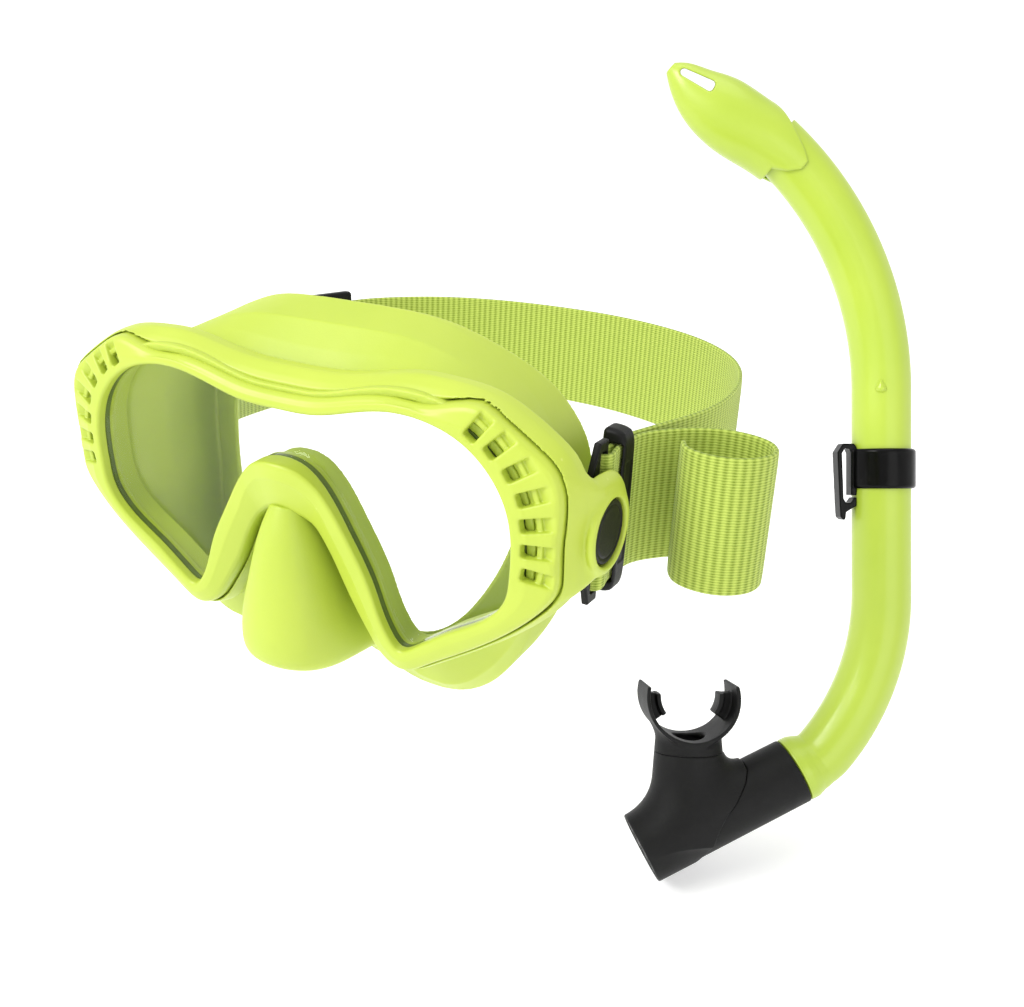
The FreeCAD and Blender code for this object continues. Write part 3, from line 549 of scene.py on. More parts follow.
def webbing_material():
    """Woven polyester: yarn crossings on ribs, from the strap's own UVs."""
    material, nodes, links = node_material("lime_webbing")
    shader = nodes["Principled BSDF"]
    where = nodes.new("ShaderNodeUVMap")
    where.uv_map = "weave"

    def wave(direction, scale, bend):
        node = nodes.new("ShaderNodeTexWave")
        node.bands_direction = direction
        put(node, Scale=scale, Distortion=bend, Detail=1, Detail_Scale=2)
        links.new(where.outputs["UV"], node.inputs["Vector"])
        return node.outputs["Fac"]

    def maths(kind, a, b):
        node = nodes.new("ShaderNodeMath")
        node.operation = kind
        for socket, value in zip(node.inputs, (a, b)):
            if isinstance(value, (int, float)):
                socket.default_value = value
            else:
                links.new(value, socket)
        return node.outputs[0]

    # One wave unit is 2 pi / 20 of a coordinate, here millimetres.
    unit = 3.14159 / 10
    ribs = wave("X", unit / RIB, 0.25)
    yarns = wave("Y", unit / YARN, 0.8)
    speck = noise(nodes, links, where.outputs["UV"], 2.6, 4, 0.7)
    weave = maths("ADD", maths("MULTIPLY", ribs, 0.5),
                  maths("MULTIPLY", yarns, 0.5))
    weave = maths("ADD", maths("MULTIPLY", weave, 0.65),
                  maths("MULTIPLY", speck, 0.45))
    # Low places of the weave, which the bump also sinks, are darker: painted shade in the
    # grooves, with random yarn speckle on top.
    tint = ramp(nodes, links, weave, (0.14, 0.21, 0.008),
                (0.45, 0.55, 0.10), 0.2, 0.78)
    links.new(tint, shader.inputs["Base Color"])
    put(shader, Roughness=0.72, Sheen_Weight=0.1, Sheen_Roughness=0.5,
        Specular_IOR_Level=0.25)
    bumped(nodes, links, weave, 0.7, 0.0004, shader.inputs["Normal"])
    return material


LIME = (0.415, 0.505, 0.05)
LIME_SHADE = (0.385, 0.485, 0.042)
# The shell's lighter edge colour is partly wear, partly painted highlight.
shell_lime = moulded("lime_shell", LIME, LIME_SHADE, 0.42,
                     wear_and_highlight=(0.50, 0.57, 0.12))
soft_lime = moulded("lime_silicone", (0.405, 0.50, 0.052),
                    (0.375, 0.475, 0.043), 0.5, grain_high=0.08,
                    subsurface=0.35)
barrel_lime = moulded("lime_barrel", (0.385, 0.50, 0.045),
                      (0.36, 0.48, 0.04), 0.34, grain_high=0.03, coat=0.15)
# Dark olive that paints the shade at the lens edge.
painted_edge_shade = moulded("seal_band", (0.13, 0.18, 0.045), (0.09, 0.13, 0.03),
                    0.45, spec=0.2)
# The lighter edge colours of the black plastics are partly wear, partly painted highlight.
black = moulded("black_plastic", (0.007, 0.007, 0.006),
                (0.004, 0.004, 0.004), 0.42, grain_high=0.12,
                spec=0.14, wear_and_highlight=(0.03, 0.03, 0.028))
gloss_black = moulded("black_gloss", (0.003, 0.003, 0.003),
                      (0.0015, 0.0015, 0.0015), 0.2, grain_high=0.02,
                      spec=0.12, wear_and_highlight=(0.008, 0.008, 0.008))
matte_black = moulded("black_silicone", (0.007, 0.007, 0.007),
                      (0.004, 0.004, 0.004), 0.52, grain_high=0.2,
                      spec=0.18)
webbing = webbing_material()
clear_lens = lens_material()

# ---- mask outlines
PER = 12                     # samples from point to point of an outline
bezel_spots = np.arange(48 * PER) / PER
half_spots = np.concatenate([FACING, [40 - t for t in FACING[-2::-1]]])
facing = np.interp(bezel_spots, np.arange(49), half_spots)
bezel_loop = whole(BEZEL_EDGE).at(bezel_spots)
ring_loop = whole(RING_EDGE).at(bezel_spots)
inner_loop = whole(OPENING).at(facing)
skirt_spots = np.arange(40 * PER) / PER
opening_loop = whole(OPENING).at(skirt_spots)
flange_loop = whole(FLANGE).at(skirt_spots)
collar_loop = grown(opening_loop, GLASS_LAP + COLLAR)
face_hole = whole(FACE_HOLE).at(np.arange(24 * PER) / PER)
face_table = smooth(FACE_CURVE, 200)


def face_depth(x, z):
    """How far behind the lens front the face surface lies."""
    return (np.interp(np.abs(x), face_table[:, 0], face_table[:, 1])
            + FACE_LEAN * (z - 30))


def front_bezel():
    """Front ring: bright lip, slope with vents, arch over the nose."""
    width = np.linalg.norm(bezel_loop - inner_loop, axis=1)
    arch = np.exp(-(inner_loop[:, 0] / 11) ** 2)
    arch = arch * np.interp(bezel_loop[:, 1], [-30, -8, 12, 16],
                            [0.3, 1, 1, 0])
    arch = np.convolve(np.tile(arch, 3), np.full(13, 1 / 13), "same")
    arch = arch[len(facing):2 * len(facing)]
    front = BEZEL_FRONT + (ARCH_FRONT - BEZEL_FRONT) * arch
    lip = np.clip(0.42 * width, 1.8, 4.6)
    slope = np.clip(0.26 * (width - lip), 0.5, 2.4)
    seat = np.minimum(SEAT, width - 0.8)
    rows = [(0, 0.02), (0, -front + 0.7), (0.5, -front + 0.1),
            (1.2, -front), (lip, -front + 0.1), (lip + 0.8, -front + 0.4),
            (width - 1.6, -front + slope), (width - 0.7, -front + slope + 0.6),
            (width - 0.15, -front + slope + 1.6),
            (width, -front + slope + 2.6), (width, BEZEL_BACK),
            (seat, BEZEL_BACK), (seat, 0.02)]
    across = (bezel_loop - inner_loop) / width[:, None]
    rings = [at_depth(inner_loop + across * np.reshape(s, (-1, 1)), y)
             for s, y in rows]
    field = Field((-84, -8, -53), (84, 5, 31), 0.3)
    shape = field.solid(*net(rings, wrap_rings=True))
    for x, z in VENTS:
        turn = np.arctan2(z + 4, x - 40)
        for side in (1, -1):
            spans, gx, gy, gz = field.cut_out(8, (side * x, -1, z))
            along = (gx * side - x) * np.cos(turn) + (gz - z) * np.sin(turn)
            cross = (gz - z) * np.cos(turn) - (gx * side - x) * np.sin(turn)
            floor = 0.1 - 0.3 * np.maximum(along - 1.0, 0)
            pocket = rounded((between(along, -4.2, 5.4),
                              between(cross, -1.85, 1.85)), 0.8)
            pocket = common(pocket, gy - floor, 0.5)
            rib = rounded((between(along, -0.8, 0.8),
                           between(cross, -2.2, 2.2),
                           between(gy, -0.9, 4)), 0.3)
            local = cut(shape[spans], pocket, 0.7)
            shape[spans] = join(local, rib, 0.3)
    skinned("front_bezel", field, shape, AT_MASK, "mask", shell_lime,
            "lime_shell")


def back_frame():
    """Ring behind the bezel with a lug and pivot seat on each side."""
    def spot(share, depth, by=0):
        loop = bezel_loop + (ring_loop - bezel_loop) * share
        return at_depth(grown(loop, by), depth)

    seat = at_depth(grown(inner_loop, SEAT), RING_BACK)
    close = at_depth(grown(inner_loop, SEAT),
                     BEZEL_BACK + 0.2)
    rings = [spot(0, BEZEL_BACK + 0.2, 0.45), spot(0, 2.4, 0.45),
             spot(0.14, 1.6, 0.4), spot(0.36, 1.7), spot(0.62, 3.2),
             spot(0.92, 5.6), spot(1, 6.6), spot(1, RING_BACK - 0.6),
             spot(0.97, RING_BACK), seat, close]
    field = Field((-90, -1, -56), (90, 31.5, 34), 0.4)
    shape = field.solid(*net(rings, wrap_rings=True))
    x, y, z = np.abs(field.x), field.y, field.z
    plan = np.hypot(np.maximum(y - 15, 0) * 0.98, z + 2) - 15.2
    plan = np.maximum(plan, -z - 17.2 + 0.1 * (y - 5))
    plan = common(plan, z - 13 + 0.12 * (y - 5), 3)
    slope = (x - 83 - (y - 4.2) * 0.735) * 0.806
    lug = common(np.maximum(plan, 4 - y), common(x - EAR_FACE, slope, 2), 2.6)
    edge = (x - EAR_FACE + plan + 2.2) * 0.707
    lug = common(lug, edge, 1.5)
    inner = np.where(y < RING_BACK + 2, 80.5, EAR_FACE - EAR_THICK)
    lug = common(lug, inner - x, 0.8)
    rho = np.hypot(y - PIVOT[0], z - PIVOT[1])
    hub = rounded((rho - 5.2, between(x, EAR_FACE - EAR_THICK - 1.9,
                                      EAR_FACE - 2)), 0.4)
    rim = np.hypot(rho - 9.9, (x - EAR_FACE + 0.45) * 1.1) - 1.15
    lug = join(join(lug, rim, 1.4), hub, 0.6)
    shape = join(shape, lug, 3.2)
    shape = cut(shape, rounded((rho - 8.95, EAR_FACE - 1.95 - x), 0.2), 0.25)
    shape = cut(shape, np.maximum(rho - 3.1, 75 - x), 0.2)
    skinned("back_frame", field, shape, AT_MASK, "mask", shell_lime,
            "lime_shell")


def nose_rings(gap):
    """Slices of the nose pocket, thinned by the gap."""
    slices = smooth(NOSE, 60)
    top, low = slices[0, 0] - gap, slices[-1, 0] + gap
    rings = []
    for height, half, front in slices:
        height = low + (height - NOSE[-1][0]) * (top - low) / (
            NOSE[0][0] - NOSE[-1][0])
        half = max(half - gap, 1)
        front = front + gap
        plan = [(half, 20), (half, 6), (half * 0.97, front + half * 0.9),
                (half * 0.72, front + half * 0.3), (0, front),
                (-half * 0.72, front + half * 0.3),
                (-half * 0.97, front + half * 0.9), (-half, 6), (-half, 20)]
        line = smooth(plan, 65)
        lean = -0.16 * (line[:, 1] - front)
        rings.append(np.stack([line[:, 0], line[:, 1], height + lean], 1))
    return rings


def skirt_rings(inset, front, shift):
    """Outlines of the skirt from its collar back to the flange."""
    drop = np.clip((-15 - flange_loop[:, 1]) / 35, 0, 1)[:, None]
    stations = [0, RING_BACK + 0.2, 16, 22, 34, SKIRT_DEEP]
    high = [0, 0, 0.42, 0.78, 1, 1]
    low = [0, 0, 0.75, 1, 1, 1]
    rings = []
    for depth in np.concatenate([[front], np.arange(1, SKIRT_DEEP, 1.0)]):
        a = np.interp(depth - shift, stations, high)
        b = np.interp(depth - shift, stations, low)
        share = a + (b - a) * drop
        loop = collar_loop + (flange_loop - collar_loop) * share
        rings.append(at_depth(grown(loop, -inset), depth))
    return rings


def silicone_skirt():
    """Soft skirt: collar, walls, face flange and nose pocket in one."""
    field = Field((-78, -17, -74), (78, 56, 41.5), 0.55)
    outer = field.closed(skirt_rings(0, 0, 0))
    nose = field.closed(nose_rings(0))
    outer = join(outer, nose, 3.5)
    inner = field.closed(skirt_rings(WALL, -2, 1.4))
    collar = field.closed(
        [at_depth(grown(opening_loop, 1.4), y) for y in (-2, 6, 16)])
    inner = np.where(field.y < RING_BACK + 1, np.maximum(inner, collar),
                     inner)
    nose = field.closed(nose_rings(WALL))
    inner = join(inner, nose, 2.5)
    face = field.y - face_depth(field.x, field.z)
    outer = common(outer, face, 1.6)
    inner = common(inner, face + WALL, 2.0)
    shape = cut(outer, inner, 0.6)
    glass = field.closed([at_depth(grown(opening_loop, GLASS_LAP), y)
                          for y in (-2, GLASS_THICK)])
    shape = cut(shape, glass, 0.2)
    hole = field.closed([at_depth(face_hole, y) for y in (15, SKIRT_DEEP)])
    shape = cut(shape, np.maximum(hole, -face - WALL - 1.5), 1.6)
    # Nothing of it stands ahead of the lens front, except the nose pocket.
    near_nose = (np.abs(field.x) < 20) * (field.z < -8)
    shape = np.maximum(shape, 0.02 - field.y - 40 * near_nose)
    skinned("silicone_skirt", field, shape, AT_MASK, "mask", soft_lime,
            "lime_silicone")


def lens():
    """Glass inside the lip, and a dark band round its edge that is painted shade where the
    glass meets the lip.
    """
    edge = grown(opening_loop, 0.2)
    rings = [at_depth(grown(edge, -0.5), 0), at_depth(edge, 0.5),
             at_depth(edge, GLASS_THICK - 0.5),
             at_depth(grown(edge, -0.5), GLASS_THICK)]
    points, quads, triangles = net(rings, caps=True)
    piece("lens_glass", points, list(quads) + list(triangles), AT_MASK,
          "mask", clear_lens, ["lens_glass"], 30)
    back = GLASS_THICK - 0.1
    out = GLASS_LAP - 0.1
    # The dark band is painted shade at the glass edge; the gasket behind it is the
    # silicone's own lime.
    bands = [("lens_seal", painted_edge_shade, [(0.25, 0.15), (0.25, 1.9), (0.35, 2.0),
                                       (out, 2.0), (out, 0.15)]),
             ("lens_gasket", soft_lime, [(0.3, 2.1), (0.3, 3.4), (0.6, back),
                                         (out, back), (out, 2.1)])]
    for name, material, rows in bands:
        rings = [at_depth(grown(opening_loop, s), y) for s, y in rows]
        points, quads, _ = net(rings, wrap_rings=True)
        piece(name, points, quads, AT_MASK, "mask", material,
              ["lens_glass"], 40)


# ---- strap
def strap_line():
    """One run of webbing from the rolled tail to the doubled far end."""
    x, y = BAR
    turn = [(x - LOOP * np.cos(a), y - LOOP * np.sin(a))
            for a in np.linspace(0, np.pi, 9)]
    near = [(x + LAYER, 26), (x + LAYER, 20), (x + LAYER, 14.5),
            (x + 1.8, 11)] + turn[::-1]
    near += [(x - 1.8, 11), (x - LAYER, 14.5), (x - LAYER, 20),
             (x - LAYER, 26)]
    far = [(LAYER - x, 20), (LAYER - x, 15), (1.8 - x, 11)]
    far += [(-a, b) for a, b in turn] + [(-x - 1.8, 11), (-x - LAYER, 15)]
    run = np.array(MAIN_FAR[::-1])
    step = run[2:] - run[:-2]
    step /= np.linalg.norm(step, axis=1)[:, None]
    doubled = run[1:-1] + 2 * LAYER * np.stack([-step[:, 1], step[:, 0]], 1)
    doubled = [tuple(p) for p in doubled if p[1] < 122]
    first = run[0] + [-2 * LAYER, 0]
    path = (TAIL[::-1] + near + MAIN_NEAR + MAIN_FAR + far
            + [tuple(first)] + doubled)
    return smooth(path, 4000)


def head_strap():
    """Ribbed flat webbing standing on edge along the strap path."""
    line = evenly(strap_line(), RIB / RIB_STEPS)
    ahead = direction(line)
    side = np.stack([-ahead[:, 1], ahead[:, 0]], axis=1)
    along = np.arange(len(line)) * RIB / RIB_STEPS
    swell = 0.5 + 0.5 * np.cos(2 * np.pi * along / RIB)
    half_high = WEB_WIDE / 2
    edge = [-1, -0.975, -0.94, -0.8, -0.4, 0, 0.4, 0.8, 0.94, 0.975, 1]
    thick = [0.35, 0.72, 0.8, 0.74, 0.74, 0.74, 0.74, 0.74, 0.8, 0.72, 0.35]
    points, uvs = [], []
    for face in (1, -1):
        order = range(len(edge)) if face > 0 else range(len(edge))[::-1]
        for k in order:
            ribbed = abs(edge[k]) < 0.9
            out = WEB_THICK / 2 * thick[k] + 0.14 * swell * ribbed
            spot = line + face * side * out[:, None]
            high = np.full(len(line), WEB_DROP + half_high * edge[k])
            points.append(np.column_stack([spot, high]))
            uvs.append(np.column_stack([along, high]))
    grid = np.stack(points, axis=1)
    flat, quads, _ = net(grid)
    cols = grid.shape[1]
    ends = [list(range(cols))[::-1],
            list(range(len(flat) - cols, len(flat)))]
    obj = piece("head_strap", flat, list(quads) + ends, AT_STRAP,
                "strap_assembly", webbing, ["head_strap"], 70)
    layer = obj.data.uv_layers.new(name="weave")
    corner = np.empty(len(obj.data.loops), int)
    obj.data.loops.foreach_get("vertex_index", corner)
    flat_uv = np.stack(uvs, axis=1).reshape(-1, 2)
    layer.data.foreach_set("uv", flat_uv[corner].ravel())


def pivot_cap(name, side):
    """Domed button over the pivot, with its pin."""
    field = Field((78, -10, -10), (90, 10, 10), 0.25)
    rho = np.hypot(field.y, field.z)
    disc = rounded((rho - 8.45, between(field.x, 86.3, 87.9)), 0.45)
    ring = np.hypot(rho - 6.9, field.x - 87.95) - 0.28
    pin = rounded((rho - 3, between(field.x, 79.95, 87)), 0.3)
    skinned(name, field, cut(join(disc, pin, 0.4), ring, 0.2), AT_STRAP,
            "strap_assembly", black, "black_plastic", side)


def strap_yoke(name, side):
    """Swivel plate with the bar that the webbing turns round."""
    top = WEB_WIDE / 2 + WEB_DROP
    low = -WEB_WIDE / 2 + WEB_DROP
    back = BAR[1] + 1
    field = Field((79, -8, low - 5), (83, back + 2, top + 5), 0.25)
    plate = polygon([(-2, 6), (4.2, top + 3.4), (back, top + 3.4),
                     (back, low - 3.4), (4.2, low - 3.4), (-2, -6), (-6, -3),
                     (-6, 3)], field.y, field.z)
    shape = rounded((plate, between(field.x, BAR[0] - 1, BAR[0] + 1)), 0.5)
    slot = rounded((between(field.y, BAR[1] - 3.5, BAR[1] - 0.4),
                    between(field.z, low - 0.5, top + 0.5)), 0.6)
    eye = np.hypot(field.y, field.z) - 3.05
    skinned(name, field, cut(cut(shape, slot, 0.4), eye, 0.2), AT_STRAP,
            "strap_assembly", black, "black_plastic", side)


GLIDE_HIGH = 23              # half the glides' height


def slider(name, place, body, wide, waist):
    """Strap glide: outer plate, inner bar and hooked ends."""
    field = Field((-4.4, -wide / 2 - 2.4, -24), (4.4, wide / 2 + 2.4, 24),
                  0.3)
    x, y, z = field.axes
    bulge = waist * (1 - np.clip(np.abs(z) / GLIDE_HIGH, 0, 1) ** 2)
    half = wide / 2 - waist * 0.6 + bulge
    outer = rounded((between(x, -3.6, 3.3), np.abs(y) - half,
                     np.abs(z) - GLIDE_HIGH), 1.5)
    window = rounded((between(x, -2.35, 2.35),
                      np.abs(z) - WEB_WIDE / 2 - 0.45), 0.5)
    crown = np.hypot(np.maximum(np.abs(z) - 17, 0), x + 3.4) - 7.5
    shape = cut(common(outer, crown, 2.0), window, 0.5)
    groove = rounded((between(x, 2.95, 5), np.abs(z) - 14,
                      np.abs(y) - half * 0.45), 0.2)
    shape = cut(shape, groove, 0.6)
    skinned(name, field, shape, place, body, black, "black_plastic")


def sliders():
    """Near glide behind the lug, far glide on the doubled webbing."""
    near = AT_STRAP @ Matrix.Translation((BAR[0], 18.5, WEB_DROP))
    slider("slider_left", near, "glide_left", 8, 1.0)
    spot, ahead, behind = (np.array(MAIN_FAR[k]) for k in (6, 5, 7))
    run = ahead - behind
    turn = np.arctan2(run[0], run[1])
    centre = spot + LAYER * np.array([-cos(turn), sin(turn)])
    far = (AT_STRAP @ Matrix.Translation((centre[0], centre[1], WEB_DROP))
           @ Matrix.Rotation(np.pi - turn, 4, "Z"))
    slider("slider_right", far, "glide_right", 20, 0.6)


# ---- snorkel
LINE_STEP = 0.6              # spacing of the barrel's rings


def barrel_line():
    """Centre line in the XZ plane, from the top end to the spigot."""
    top = [(-TOP_BEND + TOP_BEND * cos(a), TOP_BEND_HIGH + TOP_BEND * sin(a))
           for a in np.linspace(TOP_TURN, 0, 60)]
    low = [(-LOW_BEND + LOW_BEND * cos(a), LOW_BEND_HIGH - LOW_BEND * sin(a))
           for a in np.linspace(0, LOW_TURN, 50)]
    x, z = low[-1]
    cx, cz = x - END_BEND * cos(LOW_TURN), z + END_BEND * sin(LOW_TURN)
    tight = [(cx + END_BEND * cos(a), cz - END_BEND * sin(a))
             for a in np.linspace(LOW_TURN, END_TURN, 14)]
    x, z = tight[-1]
    back = (-sin(END_TURN), -cos(END_TURN))
    last = [(x + 21 * s * back[0], z + 21 * s * back[1])
            for s in np.linspace(0.02, 1, 50)]
    return evenly(np.array(top + low + tight + last), LINE_STEP)


def barrel_tube():
    """Bent barrel with faint flats, end collar and spigot."""
    line = barrel_line()
    ahead = direction(line)
    left = np.arange(len(line))[::-1] * LINE_STEP
    collar = np.interp(left, [0, 12.9, 13, 13.4, 17, 20.5, 24, 30],
                       [12.5, 12.5, 14.2, 14.6, 14.55, 13.4, 12.62, TUBE])
    angle = turns(120)
    flats = 1 - 0.010 * (1 - np.cos(10 * angle)) / 2
    rings = []
    for radius, flat in ((collar, flats), (np.full(len(line), BORE), 1)):
        shape = np.where(left[:, None] > 20, flat, 1) * radius[:, None]
        across = np.cos(angle) * shape
        deep = np.sin(angle) * shape
        rings.append(np.stack([
            line[:, :1] + ahead[:, 1:] * across, deep,
            line[:, 1:] - ahead[:, :1] * across], axis=-1))
    skin = np.concatenate([rings[0], rings[1][::-1]])
    points, quads, _ = net(skin, wrap_rings=True)
    profile = [(3.3, 0.9), (3.1, 0.2), (2.4, -0.7), (1.5, -1.25),
               (0.7, -1.4), (0.05, -1.45)]
    spin = turns(24)
    nub = []
    for r, y in profile:
        wide = [0.8 * r * cos(a) * (1 - 0.6 * max(sin(a), 0)) for a in spin]
        high = [r * sin(a) * (1.5 if sin(a) > 0 else 0.6) for a in spin]
        nub.append([(w * cos(NUB_TURN) - (TUBE - y) * sin(NUB_TURN),
                     -w * sin(NUB_TURN) - (TUBE - y) * cos(NUB_TURN),
                     NUB_HIGH + h) for w, h in zip(wide, high)])
    nub_points, nub_quads, _ = net(nub)
    faces = list(quads) + list(nub_quads + len(points))
    piece("barrel_tube", np.concatenate([points, nub_points]), faces,
          AT_SNORKEL, "snorkel", barrel_lime, ["barrel_tube"],
          50)


def guard_rings(slices, inset):
    """Oval rings of the hood, made smaller by the inset."""
    spin = turns(72)
    rings = []
    for x, z, angle, half, deep in smooth(slices, 80):
        turn = radians(90 - angle)
        wide = max(half - inset, 0.4) * np.cos(spin)
        thick = max(deep - inset, 0.4) * np.sin(spin)
        rings.append(np.stack([x + wide * cos(turn), thick,
                               z + wide * sin(turn)], axis=1))
    return rings


def splash_guard():
    """Hood on the barrel top with a skewed hem and a hanging slot."""
    field = Field((-101, -18, 118), (-18, 18, 196), 0.4)
    x, y, z = field.axes
    outer = field.closed(guard_rings(GUARD, 0))
    inner = field.closed(guard_rings(GUARD[:-1], 1.9))
    shape = cut(outer, inner, 0.3)
    hem = [(-120, 100), (-60, 126), (-52.1, 140.4), (-46, 138.4),
           (-40.5, 138.6), (-37.6, 141.9), (-39.2, 147.5), (-43.4, 157.5),
           (-47.4, 167.4), (-52, 176), (-58, 200), (-120, 220)]
    shape = common(shape, polygon(hem, x, z), 0.8)
    dx, dz = x + TOP_BEND, z - TOP_BEND_HIGH
    bend = np.hypot(np.hypot(dx, dz) - TOP_BEND, y) - TUBE - 0.05
    past_end = TOP_BEND * (np.arctan2(dz, dx) - radians(47.6))
    shape = cut(shape, np.maximum(bend, past_end), 0.15)
    turn = radians(-27)
    dx = x - SLOT_SPOT[0] - SLOT_LEAN[0] * y
    dz = z - SLOT_SPOT[1] - SLOT_LEAN[1] * y
    along = dx * cos(turn) + dz * sin(turn)
    cross = dz * cos(turn) - dx * sin(turn)
    taper = 2.1 + 0.06 * along
    slot = rounded((between(along, -8.5, 8.5), np.abs(cross) - taper), 1.9)
    shape = cut(shape, slot, 0.8)
    skinned("splash_guard", field, shape, AT_SNORKEL, "snorkel",
            barrel_lime, "lime_barrel")


def keeper_clip():
    """Snap ring on the barrel with a hooked, slotted bracket."""
    field = Field((-23, -17, -19), (17, 17, 20), 0.3)
    x, y, z = field.axes
    rho = np.hypot(x, y)
    facet = np.maximum(np.abs(x), np.abs(x) * 0.34 + np.abs(y) * 0.94)
    ring = rounded((np.maximum(rho, facet) - 14.5, between(z, -3, 15)), 1.6)
    loop = polygon([(-21, 13.5), (-18.5, 17.4), (-13.6, 17.4), (-11.6, 15),
                    (-11.4, -6), (-14.8, -6), (-14.8, 13), (-15.6, 15),
                    (-17.6, 15.2), (-18.9, 13), (-18.2, -7.5),
                    (-17, -9.4), (-15, -9.4), (-13.4, -7), (-11.9, -6.8),
                    (-11.3, -8), (-12, -10.6), (-14.5, -12),
                    (-17, -13.6), (-17.4, -16.8), (-18.2, -17.2),
                    (-19.6, -15.8), (-20, -10)], x, z)
    bracket = rounded((loop, np.abs(y) - 3.4), 0.35)
    shape = join(ring, bracket, 0.8)
    shape = cut(shape, rho - TUBE - 0.1, 0.2)
    skinned("keeper_clip", field, shape, AT_SNORKEL, "keeper", gloss_black,
            "black_gloss")


def neck_distance(field, squash, low, high, low_at, high_at):
    """Upright tapering neck, slightly flat from front to back."""
    share = np.clip((field.z - low_at) / (high_at - low_at), 0, 1)
    radius = low + (high - low) * share
    return (np.hypot(field.x - MOUTH[0], field.y / squash) - radius) * 0.93


NECK_SPLIT = -122.0


def lower_parts():
    """Sleeve, elbow and mouthpiece, which share their surfaces."""
    field = Field((-128, -20, -190), (-24, 20, -72), 0.42)
    dx, dz = field.x - SLEEVE_START[0], field.z - SLEEVE_START[1]
    along = dx * sin(SLEEVE_TURN) + dz * cos(SLEEVE_TURN)
    across = dx * cos(SLEEVE_TURN) - dz * sin(SLEEVE_TURN)
    lower = AT_SNORKEL, "lower_swivel", matte_black, "black_silicone"
    y = field.y
    rho = np.hypot(across, y)
    parting = np.interp(across, *np.array(PARTING).T)
    parting = (along - parting) * 0.6
    bore = rho - 12.6
    sleeve = rounded((rho - 14.7 - 0.009 * along,
                      between(along, 0.4, ELBOW_LONG)), 0.35)
    sleeve = cut(common(sleeve, parting + 0.12, 0.3), bore, 0.3)
    skinned("barrel_sleeve", field, sleeve, *lower)
    body = rounded((rho - 15.4 - 0.008 * along,
                    between(along, -20, ELBOW_LONG)), 0.8)
    neck = neck_distance(field, 0.86, 17.6, 14.8, -150, -116)
    mouth_bore = neck_distance(field, 0.7, 12.4, 10.6, -156, -116)
    trunk = np.maximum(neck, -field.z - 158)
    whole_elbow = join(body, trunk, 11)
    elbow = common(whole_elbow, np.maximum(0.12 - parting, field.z
                                           - NECK_SPLIT + 0.03), 0.12)
    elbow = cut(elbow, bore, 0.3)
    open_neck = np.maximum(mouth_bore, -field.z - 158)
    elbow = cut(elbow, open_neck, 0.3)
    seat = np.maximum(rho - 14.1, ELBOW_LONG - 10 - along)
    elbow = cut(elbow, seat, 0.3)
    elbow = np.maximum(elbow, along - ELBOW_LONG)
    skinned("purge_elbow", field, elbow, *lower)

    dx, dz = field.x - MOUTH[0], field.z - MOUTH[1]
    ring = np.hypot(dx, dz)
    angle = np.degrees(np.arctan2(np.abs(dx), -dz))
    half_deep = 13 - 2.2 * (angle / 100) ** 2
    over = (angle - 105) * ring * 0.0175
    shield = rounded((np.abs(ring - SHIELD + 0.9) - 0.9,
                      np.abs(y) - half_deep), 0.6)
    shield = common(shield, over, 0.7)
    neck_top = common(neck, field.z - MOUTH[1] + 6, 1)
    mouth = join(shield, common(neck_top, -(ring - SHIELD + 1.8), 0.5), 4)
    mouth = cut(mouth, ring - SHIELD + 1.8, 0.6)
    # Each bite tab is a stalk with a wider pad at its inner end.
    for outer, deep in ((SHIELD - 1, 2.5), (15.4, 4.5)):
        tab = rounded((between(ring, 13.2, outer),
                       between(angle, 54, 94) * 0.29,
                       np.abs(y) - deep), 0.5)
        mouth = join(mouth, tab, 0.5)
    mouth = np.maximum(mouth, NECK_SPLIT + 0.03 - field.z)
    mouth = cut(mouth, np.maximum(mouth_bore, field.z + 117), 0.3)
    hole = np.maximum(np.hypot(dx, y) - 7.4, field.z - MOUTH[1] + 10)
    mouth = cut(mouth, hole, 0.8)
    skinned("mouthpiece", field, mouth, *lower)


def purge_disc(name, start, thick, radius, holes, body, material, slot):
    """Thin round plate across the lower tube, with its ring of holes."""
    place = (AT_SNORKEL
             @ Matrix.Translation((SLEEVE_START[0], 0, SLEEVE_START[1]))
             @ Matrix.Rotation(SLEEVE_TURN, 4, "Y")
             @ Matrix.Translation((0, 0, ELBOW_LONG - start)))
    field = Field((-15, -15, -0.6), (15, 15, thick + 0.8), 0.22)
    rho = np.hypot(field.x, field.y)
    shape = rounded((rho - radius, between(field.z, 0, thick)),
                    0.3 * min(thick, 1))
    if holes:
        rim = np.hypot(rho - radius + 1.6, field.z - thick) - 0.35
        shape = cut(shape, rim, 0.2)
        for k in range(6):
            hole = np.hypot(field.x - 7.4 * cos(k * np.pi / 3),
                            field.y - 7.4 * sin(k * np.pi / 3)) - 2.6
            shape = cut(shape, hole, 0.35)
    if holes > 6:
        shape = cut(shape, rho - 1.5, 0.3)
    skinned(name, field, shape, place, body, material, slot)


front_bezel()
back_frame()
silicone_skirt()
lens()
for side_name, side in (("left", 1), ("right", -1)):
    pivot_cap("pivot_cap_" + side_name, side)
    strap_yoke("strap_yoke_" + side_name, side)
head_strap()
sliders()
barrel_tube()
splash_guard()
keeper_clip()
lower_parts()
purge_disc("purge_seat", 9.8, 2, 14, 6, "lower_swivel", black,
           "black_plastic")
purge_disc("purge_diaphragm", 7.4, 0.8, 11.5, 0, "purge_valve",
           matte_black, "black_silicone")
purge_disc("purge_cap", 2.2, 1.8, 14, 7, "lower_swivel", black,
           "black_plastic")

# ---- floor, light and camera
scene = bpy.context.scene


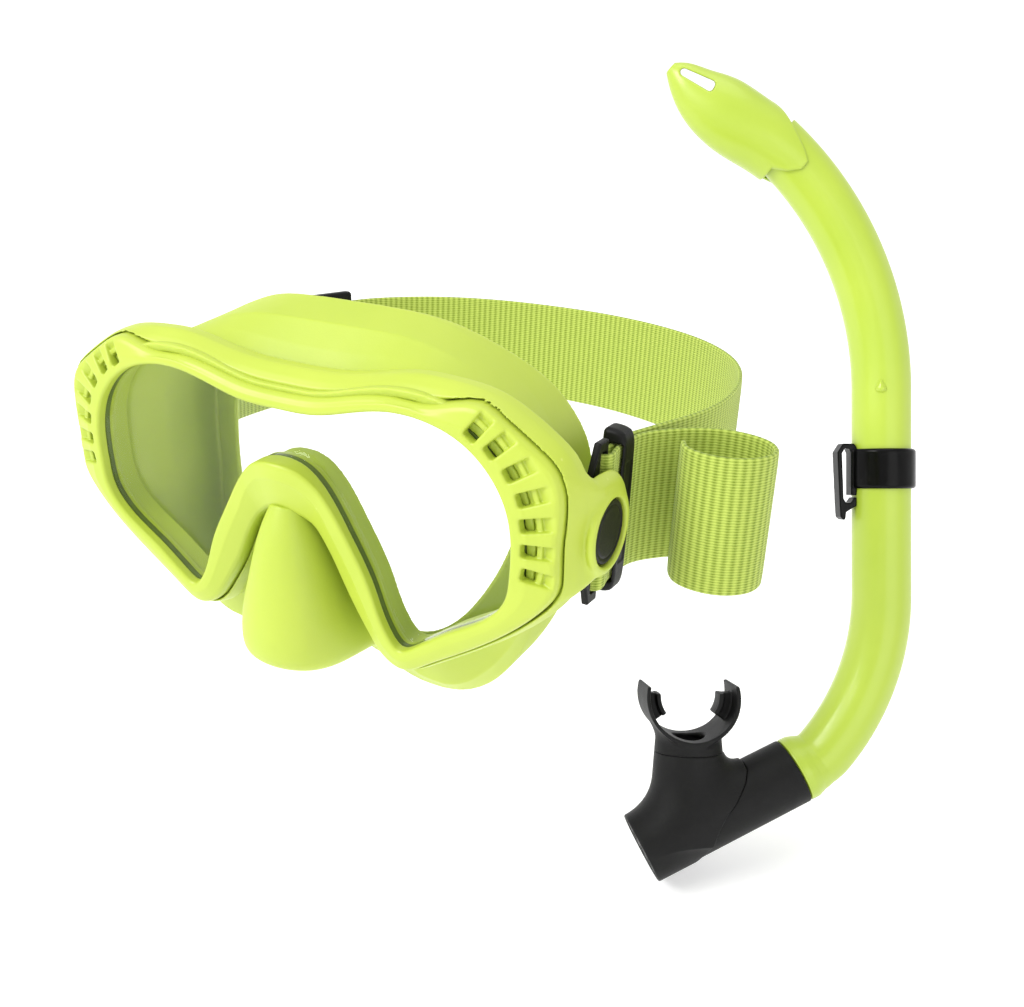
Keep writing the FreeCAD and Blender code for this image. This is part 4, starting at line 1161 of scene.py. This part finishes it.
def floor():
    """Plain pale floor under the lowest point, turned up far away.

    Its profile is in metres, as are the lights and the camera below.
    """
    high = cad_low[2] - 0.004
    profile = [(0.01, 0), (1.5, 0), (4.5, 0)]
    profile += [(4.5 + 1.5 * sin(a), 1.5 - 1.5 * cos(a))
                for a in np.linspace(0.1, np.pi / 2, 14)]
    profile += [(6, 2.6)]
    spin = turns(64)
    rings = [[(r * cos(a), r * sin(a), high + z) for a in spin]
             for r, z in profile]
    points, quads, _ = net(rings)
    faces = [list(map(int, f)) for f in quads] + [list(range(64))[::-1]]
    mesh = bpy.data.meshes.new("floor")
    mesh.from_pydata(points.tolist(), [], faces)
    mesh.polygons.foreach_set("use_smooth", [True] * len(mesh.polygons))
    material, nodes, _ = node_material("pale_floor")
    shader = nodes["Principled BSDF"]
    put(shader, Base_Color=(0.9, 0.9, 0.9, 1), Roughness=0.9,
        Specular_IOR_Level=0.1, Emission_Color=(1, 1, 1, 1),
        Emission_Strength=0.28)
    mesh.materials.append(material)
    obj = bpy.data.objects.new("floor", mesh)
    scene.collection.objects.link(obj)


def area_light(name, spot, target, wide, power):
    """Round soft light aimed at a point."""
    data = bpy.data.lights.new(name, "AREA")
    data.shape = "DISK"
    data.size = wide
    data.energy = power
    obj = bpy.data.objects.new(name, data)
    obj.location = spot
    aim = Vector(target) - Vector(spot)
    obj.rotation_euler = aim.to_track_quat("-Z", "Y").to_euler()
    scene.collection.objects.link(obj)


def camera():
    """Where the mask is seen from, at the wearer's left and above."""
    azimuth, height, roll = radians(33.94), radians(24.05), radians(-1.53)
    ahead = Vector((-sin(azimuth) * cos(height), cos(azimuth) * cos(height),
                    -sin(height)))
    right = Vector((cos(azimuth), sin(azimuth), 0))
    up = right.cross(ahead)
    turned = right * cos(roll) + up * sin(roll)
    top = up * cos(roll) - right * sin(roll)
    data = bpy.data.cameras.new("camera")
    data.lens = 40.52
    data.sensor_width = 36
    data.shift_x = 0.109
    data.shift_y = -0.018
    data.clip_start = 0.01
    obj = bpy.data.objects.new("camera", data)
    basis = Matrix((turned, top, -ahead)).transposed()
    obj.matrix_world = (Matrix.Translation((0.1877, -0.2684, 0.1241))
                        @ basis.to_4x4())
    scene.collection.objects.link(obj)
    scene.camera = obj


floor()
centre = (0.05, 0.05, -0.05)
area_light("key", (-0.9, -1.3, 1.4), centre, 1.2, 40)
area_light("top", (0.1, 0.4, 1.8), centre, 1.6, 10)
area_light("fill", (1.5, -0.9, 0.5), centre, 1.2, 5)
world = bpy.data.worlds.new("studio")
scene.world = world
world.use_nodes = True
sky = world.node_tree.nodes["Background"]
put(sky, Color=(1, 1, 1, 1), Strength=0.8)
camera()
scene.view_settings.view_transform = "Standard"
scene.view_settings.exposure = 0.0
